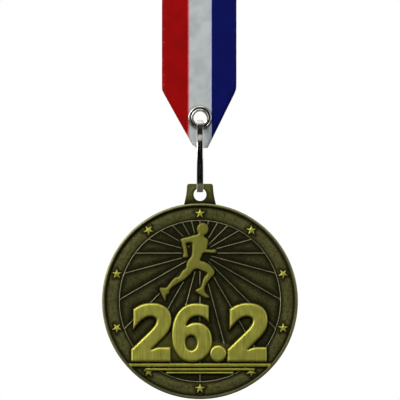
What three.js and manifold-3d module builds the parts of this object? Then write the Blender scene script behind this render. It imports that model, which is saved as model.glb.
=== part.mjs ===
// A finisher medal: a cast medallion on a split ring, an eyelet and a neck ribbon.
// Millimetres, +Z up, the medallion's face looks along -Y. The model is laid out from the
// medallion's centre, and the whole is then moved so that the hook point of the neck loop is
// at the origin.
import * as THREE from "three";
import { mergeVertices } from "three/addons/utils/BufferGeometryUtils.js";
import Module from "manifold-3d";

const wasm = await Module();
wasm.setup();

// ---- medallion ----
const disc_radius = 30;
const disc_thickness = 3;
const disc_edge_round = 0.35;
const rim_width = 1;
const recess_depth = 0.9;
const relief_bite = 0.3; // how far a raised figure is rooted in the disc

const tab_height = 5.95; // above the disc
const tab_thickness = 1.6;
const tab_top_half_width = 4;
const tab_root_half_width = 5.2;
const tab_root_depth = 1.2; // how far the tab reaches into the disc
const tab_corner = 0.8;
const tab_flare = 0.4;
const tab_edge_round = 0.4;
const tab_hole_radius = 1.95;
const strip_above_hole = 1.35;

const line_width = 0.3;
const line_height = 0.3;
const circle_radius = 24.7;
const ray_count = 24;
const ray_hub_z = 14.7;
const star_count = 10;
const star_radius = 1.7;
const star_waist = 0.42; // inner radius as a share of the outer one
const star_ring_radius = 26.8;
const star_height = 0.45;
const runner_height = 0.85;
const numeral_height = 1.25;
const numeral_bottom_z = -18.65;
const web_height = 0.4;
const bar_height = 0.8;

// ---- split ring ----
const ring_outer_radius = 11.1;
const ring_wall = 0.8;
const coil_width = 0.85;
const coil_gap = 0.1;
const coil_round = 0.2;
const coil_lap_deg = 16; // the crossing from one coil to the other
const ring_play_in_tab = 0.45; // between the strip above the tab's hole and the ring
const ring_play_in_eyelet = 0.5; // between the eyelet's bore and the ring

// ---- ribbon and eyelet ----
const ribbon_width = 22.2;
const ribbon_thickness = 0.4;
const ribbon_length = 762;
const layer_gap = 0.25;
const flap_press = 0.875; // the folded corners are pressed to this share of their thickness
const eyelet_bore_radius = 1.95;
const eyelet_wall = 0.35;
const eyelet_flange_radius = 3.65;
const eyelet_flange_thickness = 0.3;
const front_lip_radius = 0.4;
const rear_lip_radius = 0.325;
const washer_thickness = 0.25;
const tip_below_eyelet = 9.3;
const tip_half_width = 1.6;
const stub_height = 2.7;
const shoulder_above_eyelet = 8;
const strap_above_eyelet = 41.5; // eyelet's centre to the foot of the hank

// ---- stored length ----
const hank_runs = 7;
const hank_slack = 0.35; // per run, because soft folds never close up
const hank_corner = 2;
const loop_height = 34;
const loop_radius = 8;
const band_width = 6;
const band_thickness = 1;
const band_gap = 0.3;
const piece_gap = 0.3; // between pieces that touch

// ---- places that follow ----
const tab_top_z = disc_radius + tab_height;
const tab_hole_z = tab_top_z - strip_above_hole - tab_hole_radius;
const ring_inner_radius = ring_outer_radius - ring_wall;
const ring_low_z = tab_top_z - strip_above_hole - ring_play_in_tab;
const ring_z = ring_low_z + ring_inner_radius;
const eyelet_z = ring_z + ring_inner_radius + eyelet_bore_radius - ring_play_in_eyelet;
const flap_pack = 2 * ribbon_thickness * flap_press;
const ribbon_stack = 2 * ribbon_thickness + layer_gap + flap_pack;
const eyelet_length =
  2 * front_lip_radius + 3 * layer_gap + ribbon_stack + washer_thickness + 2 * rear_lip_radius;
const eyelet_front_y = -eyelet_length / 2;
const flange_back_y = eyelet_front_y + 2 * front_lip_radius;
const front_strap_y = flange_back_y + layer_gap; // front face of the front strap
const rear_strap_y = front_strap_y + ribbon_thickness + layer_gap;
const stack_back_y = front_strap_y + ribbon_stack;
const washer_y = stack_back_y + layer_gap;
const clench_y = washer_y + washer_thickness + layer_gap;
const hank_foot_z = eyelet_z + strap_above_eyelet;
const loose_ends = 2 * (strap_above_eyelet + tip_below_eyelet) + 2 * loop_height;
const hank_length = (ribbon_length - loose_ends) / (2 * hank_runs);
const hank_top_z = hank_foot_z + hank_length;
const run_pitch = 2 * ribbon_thickness + hank_slack;
const hank_front_y = front_strap_y - hank_slack;
const hank_depth = hank_runs * run_pitch + hank_slack;
const hook_z = hank_top_z + loop_height;
const last_run_y = hank_front_y + hank_depth - hank_slack - ribbon_thickness;

// How finely round shapes are stepped.
const steps = { round: 72, small_round: 32, arc: 4, curve: 6, lip: 6, coil: 72 };

// ---- helpers ----
function solid(geometry) {
  const bare = geometry.index ? geometry.clone() : geometry;
  for (const name of ["normal", "uv", "uv1"]) {
    bare.deleteAttribute(name);
  }
  const merged = mergeVertices(bare, 1e-4);
  const index = merged.index.array;
  const kept = [];
  for (let i = 0; i < index.length; i += 3) {
    const [a, b, c] = [index[i], index[i + 1], index[i + 2]];
    if (a !== b && b !== c && c !== a) {
      kept.push(a, b, c);
    }
  }
  const mesh = new wasm.Mesh({
    numProp: 3,
    vertProperties: new Float32Array(merged.attributes.position.array),
    triVerts: new Uint32Array(kept),
  });
  return new wasm.Manifold(mesh);
}

function geometryOf(body) {
  const mesh = body.getMesh();
  const geometry = new THREE.BufferGeometry();
  geometry.setAttribute("position", new THREE.BufferAttribute(mesh.vertProperties, 3));
  geometry.setIndex(new THREE.BufferAttribute(mesh.triVerts, 1));
  geometry.computeVertexNormals();
  return geometry;
}

function union(bodies) {
  return bodies.reduce((sum, body) => sum.add(body));
}

// A flat shape drawn in X and Z, from its front face at front_y back by its thickness.
function plate(shape, front_y, thickness) {
  const options = { depth: thickness, bevelEnabled: false, curveSegments: steps.curve };
  const geometry = new THREE.ExtrudeGeometry(shape, options);
  geometry.rotateX(Math.PI / 2);
  geometry.translate(0, front_y + thickness, 0);
  return solid(geometry);
}

// A shape drawn in Y and Z, extruded along X and centred on it.
function band(shape, width) {
  const options = { depth: width, bevelEnabled: false, curveSegments: steps.curve };
  const geometry = new THREE.ExtrudeGeometry(shape, options);
  geometry.translate(0, 0, -width / 2);
  geometry.rotateY(Math.PI / 2);
  geometry.rotateX(Math.PI / 2);
  return solid(geometry);
}

// A closed profile of [radius, y] points turned about the Y axis.
function turned(points, segments = steps.round) {
  const profile = points.map(([r, y]) => new THREE.Vector2(r, y));
  return solid(new THREE.LatheGeometry([...profile, profile[0]], segments));
}

function arcPoints(centre, radius, from_deg, to_deg, count) {
  const points = [];
  for (let i = 0; i <= count; i += 1) {
    const angle = THREE.MathUtils.degToRad(from_deg + ((to_deg - from_deg) * i) / count);
    points.push([centre[0] + radius * Math.cos(angle), centre[1] + radius * Math.sin(angle)]);
  }
  return points;
}

function outline(points) {
  return new THREE.Shape(points.map(([x, z]) => new THREE.Vector2(x, z)));
}

function rectangle(x0, z0, x1, z1) {
  return outline([[x0, z0], [x1, z0], [x1, z1], [x0, z1]]);
}

function roundedBox(y0, z0, y1, z1, radius) {
  return outline([
    ...arcPoints([y1 - radius, z1 - radius], radius, 0, 90, steps.arc),
    ...arcPoints([y0 + radius, z1 - radius], radius, 90, 180, steps.arc),
    ...arcPoints([y0 + radius, z0 + radius], radius, 180, 270, steps.arc),
    ...arcPoints([y1 - radius, z0 + radius], radius, 270, 360, steps.arc),
  ]);
}

// ---- the medallion ----
const face_y = -disc_thickness / 2;
const field_y = face_y + recess_depth;

function raised(shape, height) {
  return plate(shape, field_y - height, height + relief_bite);
}

function disc() {
  const back_y = disc_thickness / 2;
  return turned([
    [0, back_y],
    [0, field_y],
    [disc_radius - rim_width - recess_depth / 3, field_y],
    [disc_radius - rim_width, face_y + disc_edge_round],
    [disc_radius - rim_width / 2, face_y],
    [disc_radius - disc_edge_round / 2, face_y + disc_edge_round / 2],
    [disc_radius, face_y + 2 * disc_edge_round],
    [disc_radius, back_y - disc_edge_round],
    [disc_radius - disc_edge_round, back_y],
  ]);
}

// The hole's edges and the tab's top are rounded where the ring runs.
function tab() {
  const root_z = disc_radius - tab_root_depth;
  const waist_z = disc_radius + tab_height / 3;
  const waist = tab_top_half_width + tab_flare;
  const top_z = tab_top_z - tab_corner;
  const shape = new THREE.Shape();
  shape.moveTo(-tab_root_half_width, root_z);
  shape.lineTo(tab_root_half_width, root_z);
  shape.quadraticCurveTo(waist, waist_z, tab_top_half_width, top_z);
  shape.lineTo(tab_top_half_width - tab_corner, tab_top_z);
  shape.lineTo(tab_corner - tab_top_half_width, tab_top_z);
  shape.lineTo(-tab_top_half_width, top_z);
  shape.quadraticCurveTo(-waist, waist_z, -tab_root_half_width, root_z);
  const blank = plate(shape, -tab_thickness / 2, tab_thickness);
  const half = tab_thickness / 2;
  const over = 0.2;
  const mouth = tab_hole_radius + tab_edge_round;
  const flare = half - tab_edge_round;
  const drill = turned([
    [0, half + over],
    [0, -half - over],
    [mouth + over, -half - over],
    [mouth, -half],
    ...arcPoints([mouth, -flare], tab_edge_round, 250, 180, steps.lip / 2),
    ...arcPoints([mouth, flare], tab_edge_round, 180, 110, steps.lip / 2),
    [mouth, half],
    [mouth + over, half + over],
  ], steps.small_round);
  return blank.subtract(drill.translate([0, 0, tab_hole_z])).subtract(topChamfers());
}

function topChamfers() {
  const reach = tab_edge_round;
  const wide = 2 * tab_root_half_width;
  const half = tab_thickness / 2;
  const over = 0.1;
  const corner = (side) => {
    const points = [
      [side * (half - reach), tab_top_z + over],
      [side * (half - reach), tab_top_z],
      [side * half, tab_top_z - reach],
      [side * (half + over), tab_top_z - reach],
      [side * (half + over), tab_top_z + over],
    ];
    return band(outline(side > 0 ? points.reverse() : points), wide);
  };
  return corner(-1).add(corner(1));
}

function circleLine() {
  const outer = circle_radius + line_width / 2;
  const inner = circle_radius - line_width / 2;
  const top_y = field_y - line_height;
  const root_y = field_y + relief_bite;
  return turned([[inner, root_y], [inner, top_y], [outer, top_y], [outer, root_y]]);
}

// Straight rays from a hub above the centre out to the circle line.
function rays() {
  const bodies = [];
  for (let i = 0; i < ray_count; i += 1) {
    const angle = (2 * Math.PI * i) / ray_count;
    const across = ray_hub_z * Math.sin(angle);
    const length = Math.sqrt(circle_radius ** 2 - across ** 2) - ray_hub_z * Math.cos(angle);
    const bar = raised(rectangle(-line_width / 2, 0, line_width / 2, length), line_height);
    const turn = THREE.MathUtils.radToDeg(angle);
    bodies.push(bar.rotate([0, turn, 0]).translate([0, 0, ray_hub_z]));
  }
  return union(bodies);
}

function starShape(point_down) {
  const points = [];
  for (let i = 0; i < 10; i += 1) {
    const radius = i % 2 ? star_radius * star_waist : star_radius;
    const angle = Math.PI / 2 + (Math.PI * i) / 5 + (point_down ? Math.PI : 0);
    points.push([radius * Math.cos(angle), radius * Math.sin(angle)]);
  }
  return outline(points);
}

// Clockwise from the top; the stars that stand on one point.
const stars_point_down = [2, 4, 7, 9];

function stars() {
  const bodies = [];
  for (let i = 0; i < star_count; i += 1) {
    const angle = (2 * Math.PI * i) / star_count;
    const star = raised(starShape(stars_point_down.includes(i)), star_height);
    const place = [star_ring_radius * Math.sin(angle), 0, star_ring_radius * Math.cos(angle)];
    bodies.push(star.translate(place));
  }
  return union(bodies);
}

// A runner's figure with a plain round head, from the neck round by the leading arm, the
// leading leg, the trailing leg and the trailing arm.
const runner_points = [
  [0.6, 20.5], [1, 19.8], [2.3, 19], [2.5, 18.4], [2.2, 16.3], [2.2, 15.9], [3.8, 15.7],
  [4.4, 16], [5.1, 15.3], [4.6, 14.6], [2.9, 14.7], [1.1, 14.7], [0.5, 13.6], [0.1, 12.4],
  [1.6, 11.9], [3.2, 10.9], [4.4, 9.2], [4.2, 7.9], [3.1, 6.8], [1.8, 4.9], [1.4, 3.9],
  [1.6, 2.7], [2.9, 1.3], [2.2, 0.9], [1, 1.4], [-1.2, 2.8], [-1.2, 3.5], [0.3, 4.4],
  [0.9, 6.3], [1.3, 7.3], [2.2, 8.5], [0.8, 9.2], [-0.7, 9.8], [-1.9, 9.5], [-3.3, 7.9],
  [-4.9, 6.5], [-6.9, 5.3], [-8.6, 4.1], [-9.4, 3.1], [-9.4, 2.4], [-10, 2], [-10.4, 1.3],
  [-10.5, 0.1], [-10.9, 0.4], [-11.7, 2], [-12.3, 4], [-10.5, 4.1], [-9.9, 4.5],
  [-8.4, 6.5], [-7.4, 7.3], [-6.4, 7.6], [-5.4, 9.2], [-4.2, 10.1], [-4.2, 11],
  [-3.6, 12.5], [-2.7, 13.7], [-2.4, 15.2], [-2.4, 17], [-2.5, 17.8], [-4.2, 17.7],
  [-4.1, 16.6], [-3.8, 14.8], [-3.7, 13.5], [-4.5, 13.2], [-5.2, 13.5], [-5, 14.8],
  [-5.3, 16.4], [-5.7, 18.1], [-6, 18.7], [-5.2, 19.3], [-3.9, 19.6], [-2.7, 19.9],
  [-2, 20.2], [-0.9, 20.4], [-0.4, 20.9],
];
const head_centre = [0.9, 22];
const head_radius = 1.7;

function runner() {
  const head = new THREE.Shape();
  head.absarc(head_centre[0], head_centre[1], head_radius, 0, 2 * Math.PI);
  const body = raised(outline([...runner_points].reverse()), runner_height);
  return body.add(raised(head, runner_height));
}

// Bold numerals for the distance, each drawn from its own lower left corner.
function numeralTwo() {
  const shape = new THREE.Shape();
  shape.moveTo(0, 0);
  shape.lineTo(12.3, 0);
  shape.lineTo(12.3, 4.7);
  shape.lineTo(9.2, 4.7);
  shape.quadraticCurveTo(7.8, 4.7, 6.4, 3.9);
  shape.lineTo(9.4, 6.8);
  shape.bezierCurveTo(11.3, 8.6, 12.5, 10.2, 12.5, 13);
  shape.bezierCurveTo(12.5, 16.2, 10.2, 18.2, 6.3, 18.2);
  shape.bezierCurveTo(4.2, 18.2, 2.4, 17.6, 0.7, 16.2);
  shape.lineTo(0.7, 9.8);
  shape.bezierCurveTo(2.8, 12.4, 4.2, 13.9, 6, 13.9);
  shape.bezierCurveTo(7.2, 13.9, 7.8, 13.4, 7.8, 12.6);
  shape.bezierCurveTo(7.8, 11.7, 7, 10.8, 5.8, 9.5);
  shape.lineTo(0, 3.9);
  return shape;
}

function numeralSix() {
  const shape = new THREE.Shape();
  shape.moveTo(11.5, 12);
  shape.lineTo(11.5, 17.3);
  shape.bezierCurveTo(10.2, 17.9, 8.8, 18.1, 7.3, 18.1);
  shape.bezierCurveTo(2.6, 18.1, 0, 13.8, 0, 8.4);
  shape.bezierCurveTo(0, 3.2, 2.4, 0, 6.2, 0);
  shape.bezierCurveTo(10, 0, 12.5, 2.8, 12.5, 6.6);
  shape.bezierCurveTo(12.5, 10, 10.4, 12.2, 7.6, 12.2);
  shape.bezierCurveTo(6.3, 12.2, 5.3, 11.8, 4.5, 11.2);
  shape.bezierCurveTo(5, 13, 6.2, 14.05, 8, 14.05);
  shape.bezierCurveTo(9.6, 14.05, 10.6, 13.2, 11.5, 12);
  const counter = new THREE.Path();
  counter.absellipse(6, 5.9, 1.7, 2.2, 0, 2 * Math.PI);
  shape.holes.push(counter);
  return shape;
}

const numeral_left_x = { two: -21.2, six: -8.7, second_two: 8.3 };
const point_centre = [5.55, -16];
const point_radius = 2.5;

// The low plate of metal left between the feet of the numerals.
const web_inset = 6;
const web_rise = 6;

function numerals() {
  const point = new THREE.Shape();
  point.absarc(point_centre[0], point_centre[1], point_radius, 0, 2 * Math.PI);
  const web_left_x = numeral_left_x.two + web_inset;
  const web_right_x = numeral_left_x.second_two + web_inset / 3;
  const web_top_z = numeral_bottom_z + web_rise;
  const web = rectangle(web_left_x, numeral_bottom_z, web_right_x, web_top_z);
  const two = raised(numeralTwo(), numeral_height);
  const six = raised(numeralSix(), numeral_height);
  return union([
    two.translate([numeral_left_x.two, 0, numeral_bottom_z]),
    six.translate([numeral_left_x.six, 0, numeral_bottom_z]),
    two.translate([numeral_left_x.second_two, 0, numeral_bottom_z]),
    raised(point, numeral_height),
    raised(web, web_height),
  ]);
}

// Three bars under the numerals: [half length, middle height, width].
const bars = [
  [21.8, -19.8, 1],
  [16.9, -20.95, 0.8],
  [10.4, -21.9, 0.7],
];

function baseBars() {
  return union(bars.map(([half, z, width]) => (
    raised(rectangle(-half, z - width / 2, half, z + width / 2), bar_height)
  )));
}

function medallion() {
  const relief = [circleLine(), rays(), stars(), runner(), numerals(), baseBars()];
  const cutter = turned([
    [0, disc_thickness],
    [0, -disc_thickness],
    [disc_radius - rim_width / 2, -disc_thickness],
    [disc_radius - rim_width / 2, disc_thickness],
  ]);
  return union([disc(), tab(), union(relief).intersect(cutter)]);
}

// ---- the split ring ----
// Two flat coils side by side. The strip runs once round on the left, crosses over and runs
// round again on the right, and its two ends lie against the crossing.
class CoilPath extends THREE.Curve {
  getPoint(t, target = new THREE.Vector3()) {
    const lap = THREE.MathUtils.degToRad(coil_lap_deg);
    const start = lap;
    const end = 4 * Math.PI - lap;
    const angle = start + (end - start) * t;
    const crossing = THREE.MathUtils.smoothstep(angle, 2 * Math.PI - lap / 2, 2 * Math.PI + lap / 2);
    const radius = ring_outer_radius - ring_wall / 2;
    const x = (crossing - 0.5) * (coil_width + coil_gap);
    return target.set(x, radius * Math.cos(angle), radius * Math.sin(angle));
  }
}

function splitRing() {
  const half = [coil_width / 2, ring_wall / 2];
  const flat = [half[0] - coil_round, half[1] - coil_round];
  const section = outline([
    [half[0], -flat[1]], [half[0], flat[1]], [flat[0], half[1]], [-flat[0], half[1]],
    [-half[0], flat[1]], [-half[0], -flat[1]], [-flat[0], -half[1]], [flat[0], -half[1]],
  ]);
  const path = new CoilPath();
  const options = { steps: steps.coil, bevelEnabled: false, extrudePath: path };
  return solid(new THREE.ExtrudeGeometry(section, options));
}

// ---- the eyelet and its washer ----
function eyelet() {
  const bore = eyelet_bore_radius;
  const front = [bore + front_lip_radius, eyelet_front_y + front_lip_radius];
  const rear = [bore + rear_lip_radius, clench_y + rear_lip_radius];
  const barrel = bore + eyelet_wall;
  return turned([
    ...arcPoints(rear, rear_lip_radius, 0, 180, steps.lip),
    ...arcPoints(front, front_lip_radius, 180, 360, steps.lip),
    [bore + 2 * front_lip_radius, flange_back_y - eyelet_flange_thickness],
    [eyelet_flange_radius - eyelet_flange_thickness / 2, flange_back_y - eyelet_flange_thickness],
    [eyelet_flange_radius, flange_back_y - eyelet_flange_thickness / 2],
    [eyelet_flange_radius, flange_back_y],
    [barrel, flange_back_y],
    [barrel, clench_y],
  ], steps.small_round);
}

function washer() {
  const inner = eyelet_bore_radius + eyelet_wall + piece_gap;
  const back_y = washer_y + washer_thickness;
  const profile = [
    [inner, back_y],
    [inner, washer_y],
    [eyelet_flange_radius, washer_y],
    [eyelet_flange_radius, back_y],
  ];
  return turned(profile, steps.small_round);
}

// ---- the ribbon ----
const half_ribbon = ribbon_width / 2;
const tip_z = eyelet_z - tip_below_eyelet;
const shoulder_z = eyelet_z + shoulder_above_eyelet;

function strapShape() {
  const stub_z = tip_z + stub_height;
  return outline([
    [-tip_half_width, tip_z],
    [tip_half_width, tip_z],
    [2 * tip_half_width, stub_z],
    [half_ribbon, shoulder_z],
    [half_ribbon, hank_foot_z - piece_gap],
    [-half_ribbon, hank_foot_z - piece_gap],
    [-half_ribbon, shoulder_z],
    [-2 * tip_half_width, stub_z],
  ]);
}

// The two folded corners together: a V with a notch, just inside the fold lines.
function flapShape() {
  const inset = 0.3;
  const stub_z = tip_z + stub_height;
  return outline([
    [inset - 2 * tip_half_width, stub_z + inset],
    [2 * tip_half_width - inset, stub_z + inset],
    [half_ribbon - inset, shoulder_z],
    [0, eyelet_z + eyelet_bore_radius],
    [inset - half_ribbon, shoulder_z],
  ]);
}

function punch(y0, y1) {
  const radius = eyelet_bore_radius + eyelet_wall + piece_gap;
  const profile = [[0, y1], [0, y0], [radius, y0], [radius, y1]];
  return turned(profile, steps.small_round).translate([0, 0, eyelet_z]);
}

function frontStrap() {
  const sheet = plate(strapShape(), front_strap_y, ribbon_thickness);
  return sheet.subtract(punch(front_strap_y - 1, front_strap_y + 1));
}

// The rear strap carries the folded corners of both ends.
function rearStrap() {
  const sheet = plate(strapShape(), rear_strap_y, ribbon_thickness);
  const root_y = rear_strap_y + ribbon_thickness / 2;
  const flaps = plate(flapShape(), root_y, stack_back_y - root_y);
  return sheet.add(flaps).subtract(punch(rear_strap_y - 1, washer_y));
}

function hank() {
  const back_y = hank_front_y + hank_depth;
  return band(roundedBox(hank_front_y, hank_foot_z, back_y, hank_top_z, hank_corner), ribbon_width);
}

// The bight that goes over a hook: it leaves the last run and opens round the hook point.
function neckLoop() {
  const side = (offset) => {
    const radius = loop_radius + offset;
    const foot_z = hank_top_z + piece_gap;
    const centre_z = hook_z - loop_radius;
    const path = new THREE.Path();
    path.moveTo(last_run_y + offset, foot_z);
    path.bezierCurveTo(last_run_y + offset, foot_z + loop_radius, radius, centre_z - loop_radius,
      radius, centre_z);
    path.absarc(0, centre_z, radius, 0, Math.PI, false);
    path.bezierCurveTo(-radius, centre_z - loop_radius, last_run_y - offset, foot_z + loop_radius,
      last_run_y - offset, foot_z);
    return path.getPoints(2 * steps.curve).map((p) => [p.x, p.y]);
  };
  const outer = side(ribbon_thickness);
  const inner = side(0);
  inner[0] = [last_run_y, inner[0][1] + ribbon_thickness];
  inner[inner.length - 1] = inner[0];
  const shape = outline(outer);
  shape.holes.push(new THREE.Path(inner.slice(0, -1).map(([y, z]) => new THREE.Vector2(y, z))));
  return band(shape, ribbon_width);
}

function hankBand() {
  const inner_x = half_ribbon + band_gap;
  const front_y = hank_front_y - band_gap;
  const back_y = hank_front_y + hank_depth + band_gap;
  const outer = outline([
    [-inner_x - band_thickness, front_y - band_thickness],
    [inner_x + band_thickness, front_y - band_thickness],
    [inner_x + band_thickness, back_y + band_thickness],
    [-inner_x - band_thickness, back_y + band_thickness],
  ]);
  const inner = [[-inner_x, front_y], [-inner_x, back_y], [inner_x, back_y], [inner_x, front_y]];
  outer.holes.push(new THREE.Path(inner.map(([x, y]) => new THREE.Vector2(x, y))));
  const options = { depth: band_width, bevelEnabled: false };
  const geometry = new THREE.ExtrudeGeometry(outer, options);
  geometry.translate(0, 0, (hank_foot_z + hank_top_z - band_width) / 2);
  return solid(geometry);
}

// ---- materials and assembly ----
const materials = {
  antique_gold: { color: 0x8a7f3c, roughness: 0.42, metalness: 1 },
  nickel: { color: 0xc9c8c0, roughness: 0.2, metalness: 1 },
  steel: { color: 0xb9bab8, roughness: 0.18, metalness: 1 },
  ribbon: { color: 0xb4b8b8, roughness: 0.6, metalness: 0 },
  elastic: { color: 0x2b2b2e, roughness: 0.8, metalness: 0 },
};

function piece(name, body, finish, place = [0, 0, 0]) {
  const material = new THREE.MeshStandardMaterial(materials[finish]);
  const mesh = new THREE.Mesh(geometryOf(body), material);
  mesh.name = name;
  mesh.position.set(...place);
  return mesh;
}

const group = new THREE.Group();
group.add(
  piece("medallion", medallion(), "antique_gold"),
  piece("split_ring", splitRing(), "steel", [0, 0, ring_z]),
  piece("eyelet", eyelet(), "nickel", [0, 0, eyelet_z]),
  piece("eyelet_washer", washer(), "nickel", [0, 0, eyelet_z]),
  piece("ribbon_front_strap", frontStrap(), "ribbon"),
  piece("ribbon_rear_strap", rearStrap(), "ribbon"),
  piece("ribbon_hank", hank(), "ribbon"),
  piece("ribbon_neck_loop", neckLoop(), "ribbon"),
  piece("hank_band", hankBand(), "elastic"),
);
group.position.set(0, 0, -hook_z);

export default group;
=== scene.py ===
# %% [markdown]
# # A finisher medal on a striped neck ribbon
#
# The medal is a flat casting in antique gold with a runner, a distance in bold numerals and a
# sunburst in low relief. It hangs from a split ring, an eyelet and a woven ribbon. The packed
# model gives every place and size, so the first step is to load it and keep its box.

# %% Load the frame
import math
from collections import namedtuple

import bmesh
import bpy
import numpy as np
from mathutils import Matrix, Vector, geometry, kdtree


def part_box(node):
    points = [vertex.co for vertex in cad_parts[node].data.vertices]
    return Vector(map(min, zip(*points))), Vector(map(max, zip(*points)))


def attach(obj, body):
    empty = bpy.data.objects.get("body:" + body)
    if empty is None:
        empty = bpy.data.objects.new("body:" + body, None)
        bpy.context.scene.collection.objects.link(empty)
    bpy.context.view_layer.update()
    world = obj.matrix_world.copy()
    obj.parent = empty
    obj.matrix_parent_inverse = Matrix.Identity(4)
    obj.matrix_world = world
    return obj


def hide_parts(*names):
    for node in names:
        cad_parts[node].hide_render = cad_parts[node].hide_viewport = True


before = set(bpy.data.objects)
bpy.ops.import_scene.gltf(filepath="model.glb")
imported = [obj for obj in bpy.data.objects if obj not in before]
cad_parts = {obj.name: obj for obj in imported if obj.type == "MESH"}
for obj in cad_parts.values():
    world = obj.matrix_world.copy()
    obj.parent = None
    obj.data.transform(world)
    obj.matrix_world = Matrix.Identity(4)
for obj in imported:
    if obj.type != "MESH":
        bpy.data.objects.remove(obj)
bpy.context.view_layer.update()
MM = 0.001

# %% [markdown]
# ## Where things are
#
# All shapes below are drawn in millimetres around the medal's centre, because that is how a
# die maker would draw them. `place` turns such a point into the frame's metres. The centre and
# the radius come from the medallion's own box.

# %% Key places
medal_low, medal_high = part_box("medallion")
ring_low, ring_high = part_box("split_ring")
eyelet_low, eyelet_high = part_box("eyelet")
hank_low, hank_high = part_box("ribbon_hank")
loop_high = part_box("ribbon_neck_loop")[1]
strap_low, strap_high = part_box("ribbon_front_strap")
rear_low, rear_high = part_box("ribbon_rear_strap")

disc_radius = medal_high.x / MM
centre_z = medal_low.z / MM + disc_radius
back_y = medal_high.y / MM


def up(z_metres):
    """A height in the frame as millimetres above the medal's centre."""
    return z_metres / MM - centre_z


def place(points):
    """Points in millimetres round the medal's centre, as metres in the frame."""
    return (np.asarray(points, float) + (0, 0, centre_z)) * MM


ring_z = up((ring_low.z + ring_high.z) / 2)
eyelet_z = up((eyelet_low.z + eyelet_high.z) / 2)
print(f"disc radius {disc_radius:.2f} mm, eyelet {eyelet_z:.2f} mm above its centre")

# %% [markdown]
# ## The camera
#
# A long lens far away keeps the disc round and the ribbon's edges parallel. The view takes in
# the whole medal and only the first stretch of ribbon.

# %% Camera
view_height = 122.6
view_centre_z = 30.98
camera_distance = 1100.0

camera_data = bpy.data.cameras.new("camera")
camera_data.sensor_width = 36
camera_data.lens = camera_data.sensor_width * camera_distance / view_height
camera_data.clip_start = 0.05
camera = bpy.data.objects.new("camera", camera_data)
bpy.context.collection.objects.link(camera)
camera.location = Vector(place([[0, -camera_distance, view_centre_z]])[0])
camera.rotation_euler = (math.pi / 2, 0, 0)
bpy.context.scene.camera = camera
print(f"lens {camera_data.lens:.0f} mm")

# %% [markdown]
# ## Small tools for making meshes
#
# Four helpers carry most of the work. `mesh_object` turns lists into an object that rides on a
# body, and `store` keeps numbers at its points. `triangulated` joins any cloud of points and
# drawn lines into a flat sheet of triangles, which is how a drawing becomes a surface.
# `inside_distance` measures how deep a point lies inside a drawn outline: a die cutter's bevel
# is a function of exactly that distance.


# %% Mesh helpers
def mesh_object(name, points, faces, body, smooth_deg=40.0):
    """A smooth mesh, sharp only at steep edges, that rides on a body."""
    mesh = bpy.data.meshes.new(name)
    mesh.from_pydata([tuple(p) for p in points], [], [tuple(f) for f in faces])
    mesh.validate()
    mesh.polygons.foreach_set("use_smooth", [True] * len(mesh.polygons))
    mesh.set_sharp_from_angle(angle=math.radians(smooth_deg))
    obj = bpy.data.objects.new(name, mesh)
    bpy.context.collection.objects.link(obj)
    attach(obj, body)
    return obj


def store(obj, name, values):
    """Keeps one number, or one vector, at each point of a piece, for its material to read."""
    values = np.asarray(values, np.float32)
    kind, key = ("FLOAT", "value") if values.ndim == 1 else ("FLOAT_VECTOR", "vector")
    layer = obj.data.attributes.new(name, kind, "POINT")
    layer.data.foreach_set(key, values.ravel())


def triangulated(points, edges, keep):
    """Triangles over points, following the given edges, where keep(middles) is true."""
    flat = [Vector((float(x), float(z))) for x, z in points]
    found = geometry.delaunay_2d_cdt(flat, edges, [], 0, 1e-5)
    spots = np.array([(v.x, v.y) for v in found[0]])
    faces = np.array(found[2])
    middles = spots[faces].mean(axis=1)
    return spots, faces[keep(middles)]


points_at_a_time = 4000


def inside_distance(points, loops, reach=1.6):
    """Depth inside closed outlines: positive inside, and down to -reach outside."""
    points = np.asarray(points, float)
    every = np.concatenate(loops)
    low, high = every.min(axis=0) - reach, every.max(axis=0) + reach
    near = np.all((points > low) & (points < high), axis=1)
    result = np.full(len(points), -reach)
    chosen = np.flatnonzero(near)
    for start in range(0, len(chosen), points_at_a_time):
        part = chosen[start:start + points_at_a_time]
        p = points[part, None]
        depth = np.full(len(part), 1e9)
        inside = np.zeros(len(part), bool)
        for loop in loops:
            a, b = loop, np.roll(loop, -1, axis=0)
            run = b - a
            length2 = np.maximum((run * run).sum(axis=1), 1e-12)
            t = np.clip(((p - a) * run).sum(axis=2) / length2, 0, 1)
            gap = np.linalg.norm(p - a - t[..., None] * run, axis=2)
            depth = np.minimum(depth, gap.min(axis=1))
            rise = np.where(run[:, 1] == 0, 1e-12, run[:, 1])
            cross_x = a[:, 0] + run[:, 0] * (p[..., 1] - a[:, 1]) / rise
            straddles = (a[:, 1] > p[..., 1]) != (b[:, 1] > p[..., 1])
            inside ^= (straddles & (p[..., 0] < cross_x)).sum(axis=1) % 2 == 1
        result[part] = np.where(inside, depth, np.maximum(-depth, -reach))
    return result


# %% Drawing helpers
def bezier(p0, p1, p2, p3, count):
    """Points along a cubic curve, without its first one."""
    t = np.linspace(0, 1, count + 1)[1:, None]
    p0, p1, p2, p3 = (np.array(p, float) for p in (p0, p1, p2, p3))
    return (1 - t) ** 3 * p0 + 3 * (1 - t) ** 2 * t * p1 + 3 * (1 - t) * t ** 2 * p2 + t ** 3 * p3


def drawn(start, *strokes, step=0.2):
    """A closed outline from straight strokes (end,) and curved ones (handle, handle, end)."""
    points = [np.array([start], float)]
    for stroke in strokes:
        here, end = points[-1][-1], stroke[-1]
        run = np.array(end) - here
        count = max(2, int(np.linalg.norm(run) / step))
        handles = stroke[:-1] or (here + run / 3, here + run / 1.5)
        points.append(bezier(here, *handles, end, count))
    outline = np.concatenate(points)
    return outline[:-1] if np.allclose(outline[0], outline[-1]) else outline


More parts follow.
